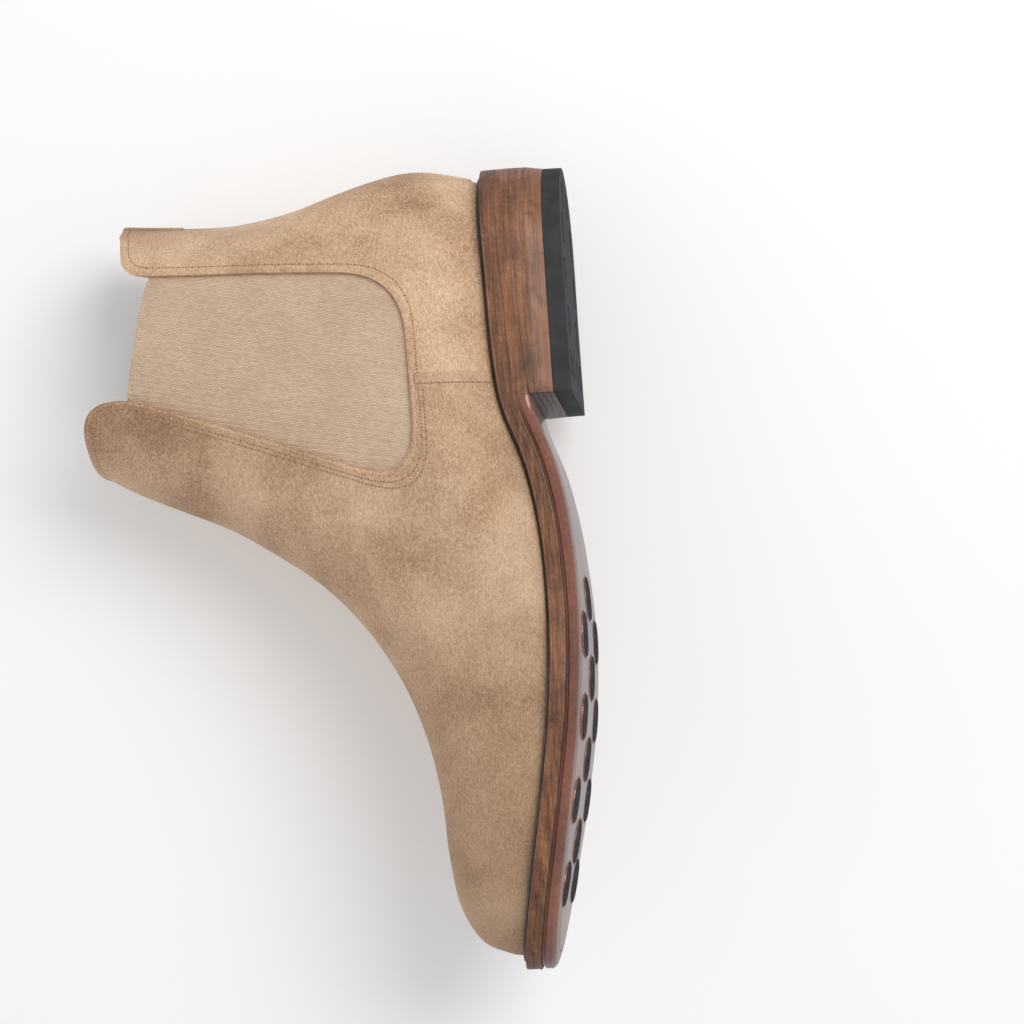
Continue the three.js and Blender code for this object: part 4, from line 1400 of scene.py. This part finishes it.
def steel_finish():
    f = Finish("steel", 0.32, Metallic=1.0)
    drawn = f.noise(1.0, 3, 0.6, f.stretched(30, 2400, 2400))
    colour = f.ramp(drawn, (0.35, (0.36, 0.36, 0.37)), (0.65, (0.60, 0.60, 0.61)))
    return f.done(colour, f.range(drawn, 0.3, 0.7, 0.25, 0.42), f.bump(drawn, 0.03, 0.5))


TAN = ((0.25, 0.105, 0.045), (0.36, 0.165, 0.08), (0.50, 0.27, 0.15))
BROWN = ((0.045, 0.025, 0.015), (0.085, 0.048, 0.028), (0.14, 0.082, 0.05))
BURNISHED = ((0.075, 0.034, 0.021), (0.19, 0.080, 0.040), (0.40, 0.175, 0.080))
STACKED = ((0.085, 0.040, 0.026), (0.235, 0.098, 0.048), (0.42, 0.190, 0.090))
BOARD = ((0.22, 0.14, 0.08), (0.34, 0.23, 0.14), (0.44, 0.32, 0.21))
BELOW = (0.33, 0.145, 0.075)

FINISHES = {
    "suede": suede_finish("suede"),
    # The quarters use a lighter copy of the suede, a painted light on the heel side.
    "quarter": suede_finish("quarter_suede_painted_light", 1.16),
    "fold": suede_finish("folded_suede", 1.1, 0.6),
    "elastic": elastic_finish("elastic"),
    "thread": thread_finish(),
    "painted_hole_shade": hole_shade_finish(),
    "lining": leather_finish("lining_leather", TAN, 0.5, 1100),
    "sock": leather_finish("sock_leather", BROWN, 0.45, 1000, 0.1),
    "welt": streaked_finish("welt_edge", BURNISHED),
    "rand": streaked_finish("rand_edge", ((0.022, 0.013, 0.009), (0.05, 0.029, 0.019), (0.10, 0.062, 0.04))),
    "stack": streaked_finish("heel_stack", STACKED, 0.4, 1100, 0.2, (0.0066, 0.013, BELOW)),
    "outsole": outsole_finish(),
    "rubber": rubber_finish(),
    "rim": rim_finish(),
    "board": leather_finish("board", BOARD, 0.8, 600, 0, 0.2),
    "cork": cork_finish(),
    "steel": steel_finish(),
}


def finish(piece, kind):
    piece.data.materials.clear()
    piece.data.materials.append(FINISHES[kind])


def fit(piece, kind, slot, *nodes):
    finish(piece, kind)
    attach(piece, "root")
    if nodes:
        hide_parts(*nodes)


# ---------- putting it together ----------
def build_upper():
    vamp, medial, lateral = suede_pieces()
    fit(vamp, "suede", "suede", "vamp")
    fit(medial, "quarter", "suede", "quarter_medial")
    fit(lateral, "quarter", "suede", "quarter_lateral")
    for piece, side in zip(gores(), SIDES):
        fit(piece, "elastic", "elastic", f"gore_{side}")
    for piece in gore_tops():
        fit(piece, "elastic", "elastic")
    vamp_lining, quarter_lining = linings()
    fit(vamp_lining, "lining", "lining", "vamp_lining")
    fit(quarter_lining, "lining", "lining", "quarter_lining")
    fit(backstay(), "fold", "suede", "backstay")
    fit(back_tab(), "fold", "suede", "back_tab")


# How far in from the suede's free edge these run.
FOLD_IN = 1.0
STITCH_IN = 3.1
SECOND_ROW_IN = 4.7


def build_edges():
    points, normals = edge_loop(FOLD_IN)
    fit(sweep("folded_edge", points, normals, oval(0.9, 1.1, -0.8, 14), True), "fold", "suede")
    points, normals = edge_loop(STITCH_IN)
    sew("edge", "", points, normals, closed=True)
    for side in SIDES:
        build_front_row(side)
        build_side_seam(side)


def sew(row, end, points, normals, closed=False):
    """A row of stitches in the suede, with dots of painted shade where they go down."""
    fit(stitches(f"{row}_stitches{end}", points, normals, closed=closed), "thread", "suede")
    fit(painted_shade_dots(f"{row}_pricks{end}", points, normals, closed=closed), "painted_hole_shade", "suede")


def build_front_row(side):
    """The second row of stitches in front of the gore."""
    flat = evenly(open_rounded(beside(EDGE, SECOND_ROW_IN)), 1.5)
    front = (flat[:, 0] > SIDE_SEAM_X + 6) & (flat[:, 1] < 171)
    found = [on_side(side, x, z) for x, z in flat[front]]
    points, normals = apart(found)
    sew("front", f"_{side}", points, normals)


# The side seam's lapped edge: how far back from the seam, and how far out of the face.
LAP = [
    (0, -0.3),
    (-0.2, 0.4),
    (0, 0.8),
    (0.5, 0.92),
    (1.2, 0.78),
    (3.0, 0.5),
    (5.2, 0.16),
    (7.0, -0.1),
    (7.0, -0.4),
]
SEAM_STITCH_LIFT = 0.42


def build_side_seam(side):
    top, bottom = FLOOR_AT_SEAM - 2.2, feather(SIDE_SEAM_X) + 2
    points, normals = seam_line(side, 0, top, bottom)
    sign = SIDES[side]
    lap = [(sign * a, b) for a, b in LAP]
    fit(sweep(f"side_lap_{side}", points, normals, lap, False), "suede", "suede")
    points, normals = seam_line(side, 3.8, top - 1, bottom)
    sew("seam", f"_{side}", points + normals * SEAM_STITCH_LIFT, normals)


def build_sole():
    fit(rand(), "rand", "edge", "rand")
    fit(welt(), "welt", "edge", "welt")
    fit(midsole(), "welt", "edge", "midsole")
    sole = outsole()
    fit(sole, "outsole", "outsole", "outsole")
    burnish_heel_edge(sole)
    fit(sock(), "sock", "sock", "sock_lining")
    fit(welt_stitches(), "thread", "edge")
    nodes = {"heel_wedge_leather": "heel_wedge", "top_lift_rubber": "top_lift"}
    for name, piece in heel().items():
        rubber = name == "top_lift_rubber"
        node = nodes.get(name) or name.replace("_leather", "")
        fit(piece, "rubber" if rubber else "stack", "rubber" if rubber else "edge", node)
    for piece, number, kind in studs():
        if kind == "rubber":
            fit(piece, "rubber", "rubber", f"stud_{number}")
        else:
            fit(piece, "rim", "rubber")


def burnish_heel_edge(piece):
    """Over the heel the sole's edge is finished as one with the stack under it."""
    piece.data.materials.append(FINISHES["stack"])
    breast = place([(HEEL_LENGTH + 1, 0, 0)])[0][0]
    for face in piece.data.polygons:
        if abs(face.normal.z) < 0.6 and face.center.x < breast:
            face.material_index = 1


def dress_hidden():
    """The pieces inside the boot keep the shapes they were made with."""
    kinds = {
        "heel_counter": "board",
        "toe_puff": "board",
        "insole_board": "board",
        "shank_board": "board",
        "cork_filler": "cork",
        "steel_shank": "steel",
    }
    for node, kind in kinds.items():
        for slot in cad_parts[node].material_slots:
            slot.material = FINISHES[kind]


# ---------- stage ----------
def pale(name, glow):
    """A pale surface that is only there from its front."""
    f = Finish(name, 0.95, Specular_IOR_Level=0.05)
    f.done(f.ramp(f.noise(3, 2, 0.5), (0.3, (0.915, 0.915, 0.92)), (0.7, (0.925, 0.925, 0.93))))
    f.shader.inputs["Emission Color"].default_value = (1, 1, 1, 1)
    f.shader.inputs["Emission Strength"].default_value = glow
    behind = f.node("ShaderNodeNewGeometry").outputs["Backfacing"]
    clear = f.node("ShaderNodeBsdfTransparent").outputs[0]
    either = f.node("ShaderNodeMixShader", {0: behind, 1: f.shader.outputs[0], 2: clear})
    f.tree.links.new(either.outputs[0], f.tree.nodes["Material Output"].inputs[0])
    return f.material


def surface(name, spot, facing, glow):
    bpy.ops.mesh.primitive_plane_add(size=6)
    plane = bpy.context.active_object
    plane.name = name
    turn = Vector(facing).to_track_quat("Z", "Y").to_matrix().to_4x4()
    plane.matrix_world = Matrix.Translation(spot) @ turn
    plane.data.materials.append(pale(name, glow))
    plane.visible_shadow = False
    plane.visible_glossy = False
    plane.visible_diffuse = False
    plane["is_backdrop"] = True


LOOK = Vector((-0.1200, -0.9877, 0.1000)).normalized()
CAMERA_UP = Vector((-0.9908, 0.1128, -0.0745))
CAMERA_AT = (245.7, 935.3, -67.0)
LENS = 87.84


def lying_surface():
    """The surface that the boot's outer side lies on."""
    reach = max(LOOK.dot(v.co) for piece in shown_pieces() if piece.type == "MESH" for v in piece.data.vertices)
    surface("lying_surface", LOOK * (reach + 0.0005), -LOOK, 0.15)


def stage():
    surface("floor", (0, 0, 0), (0, 0, 1), 0.36)
    lying_surface()
    world = bpy.data.worlds.new("studio")
    world.use_nodes = True
    tree = world.node_tree
    background = tree.nodes["Background"]
    background.inputs[0].default_value = (0.98, 0.99, 1.0, 1)
    background.inputs[1].default_value = 0.52
    backdrop = tree.nodes.new("ShaderNodeBackground")
    backdrop.inputs[0].default_value = (0.94, 0.94, 0.945, 1)
    seen = tree.nodes.new("ShaderNodeLightPath").outputs["Is Camera Ray"]
    either = tree.nodes.new("ShaderNodeMixShader")
    tree.links.new(seen, either.inputs[0])
    tree.links.new(background.outputs[0], either.inputs[1])
    tree.links.new(backdrop.outputs[0], either.inputs[2])
    tree.links.new(either.outputs[0], tree.nodes["World Output"].inputs[0])
    bpy.context.scene.world = world
    bpy.context.scene.view_settings.view_transform = "Standard"
    softbox("key", (-0.5, 1.2, -0.75), 0.9, 12)
    softbox("top", (0.25, 0.1, 1.5), 1.4, 8)


def softbox(name, spot, size, power):
    lamp = bpy.data.lights.new(name, "AREA")
    lamp.size = size
    lamp.energy = power
    holder = bpy.data.objects.new(name, lamp)
    bpy.context.collection.objects.link(holder)
    aim = Vector((0, 0, 0.09)) - Vector(spot)
    holder.matrix_world = Matrix.Translation(spot) @ aim.to_track_quat("-Z", "Y").to_matrix().to_4x4()


def camera():
    lens = bpy.data.cameras.new("camera")
    lens.lens = LENS
    lens.sensor_width = 36
    eye = bpy.data.objects.new("camera", lens)
    bpy.context.collection.objects.link(eye)
    ahead = LOOK
    right = ahead.cross(CAMERA_UP).normalized()
    up = right.cross(ahead)
    turn = Matrix((right, up, -ahead)).transposed().to_4x4()
    eye.matrix_world = Matrix.Translation(place([CAMERA_AT])[0]) @ turn
    bpy.context.scene.camera = eye


build_upper()
build_edges()
build_sole()
dress_hidden()
stage()
camera()
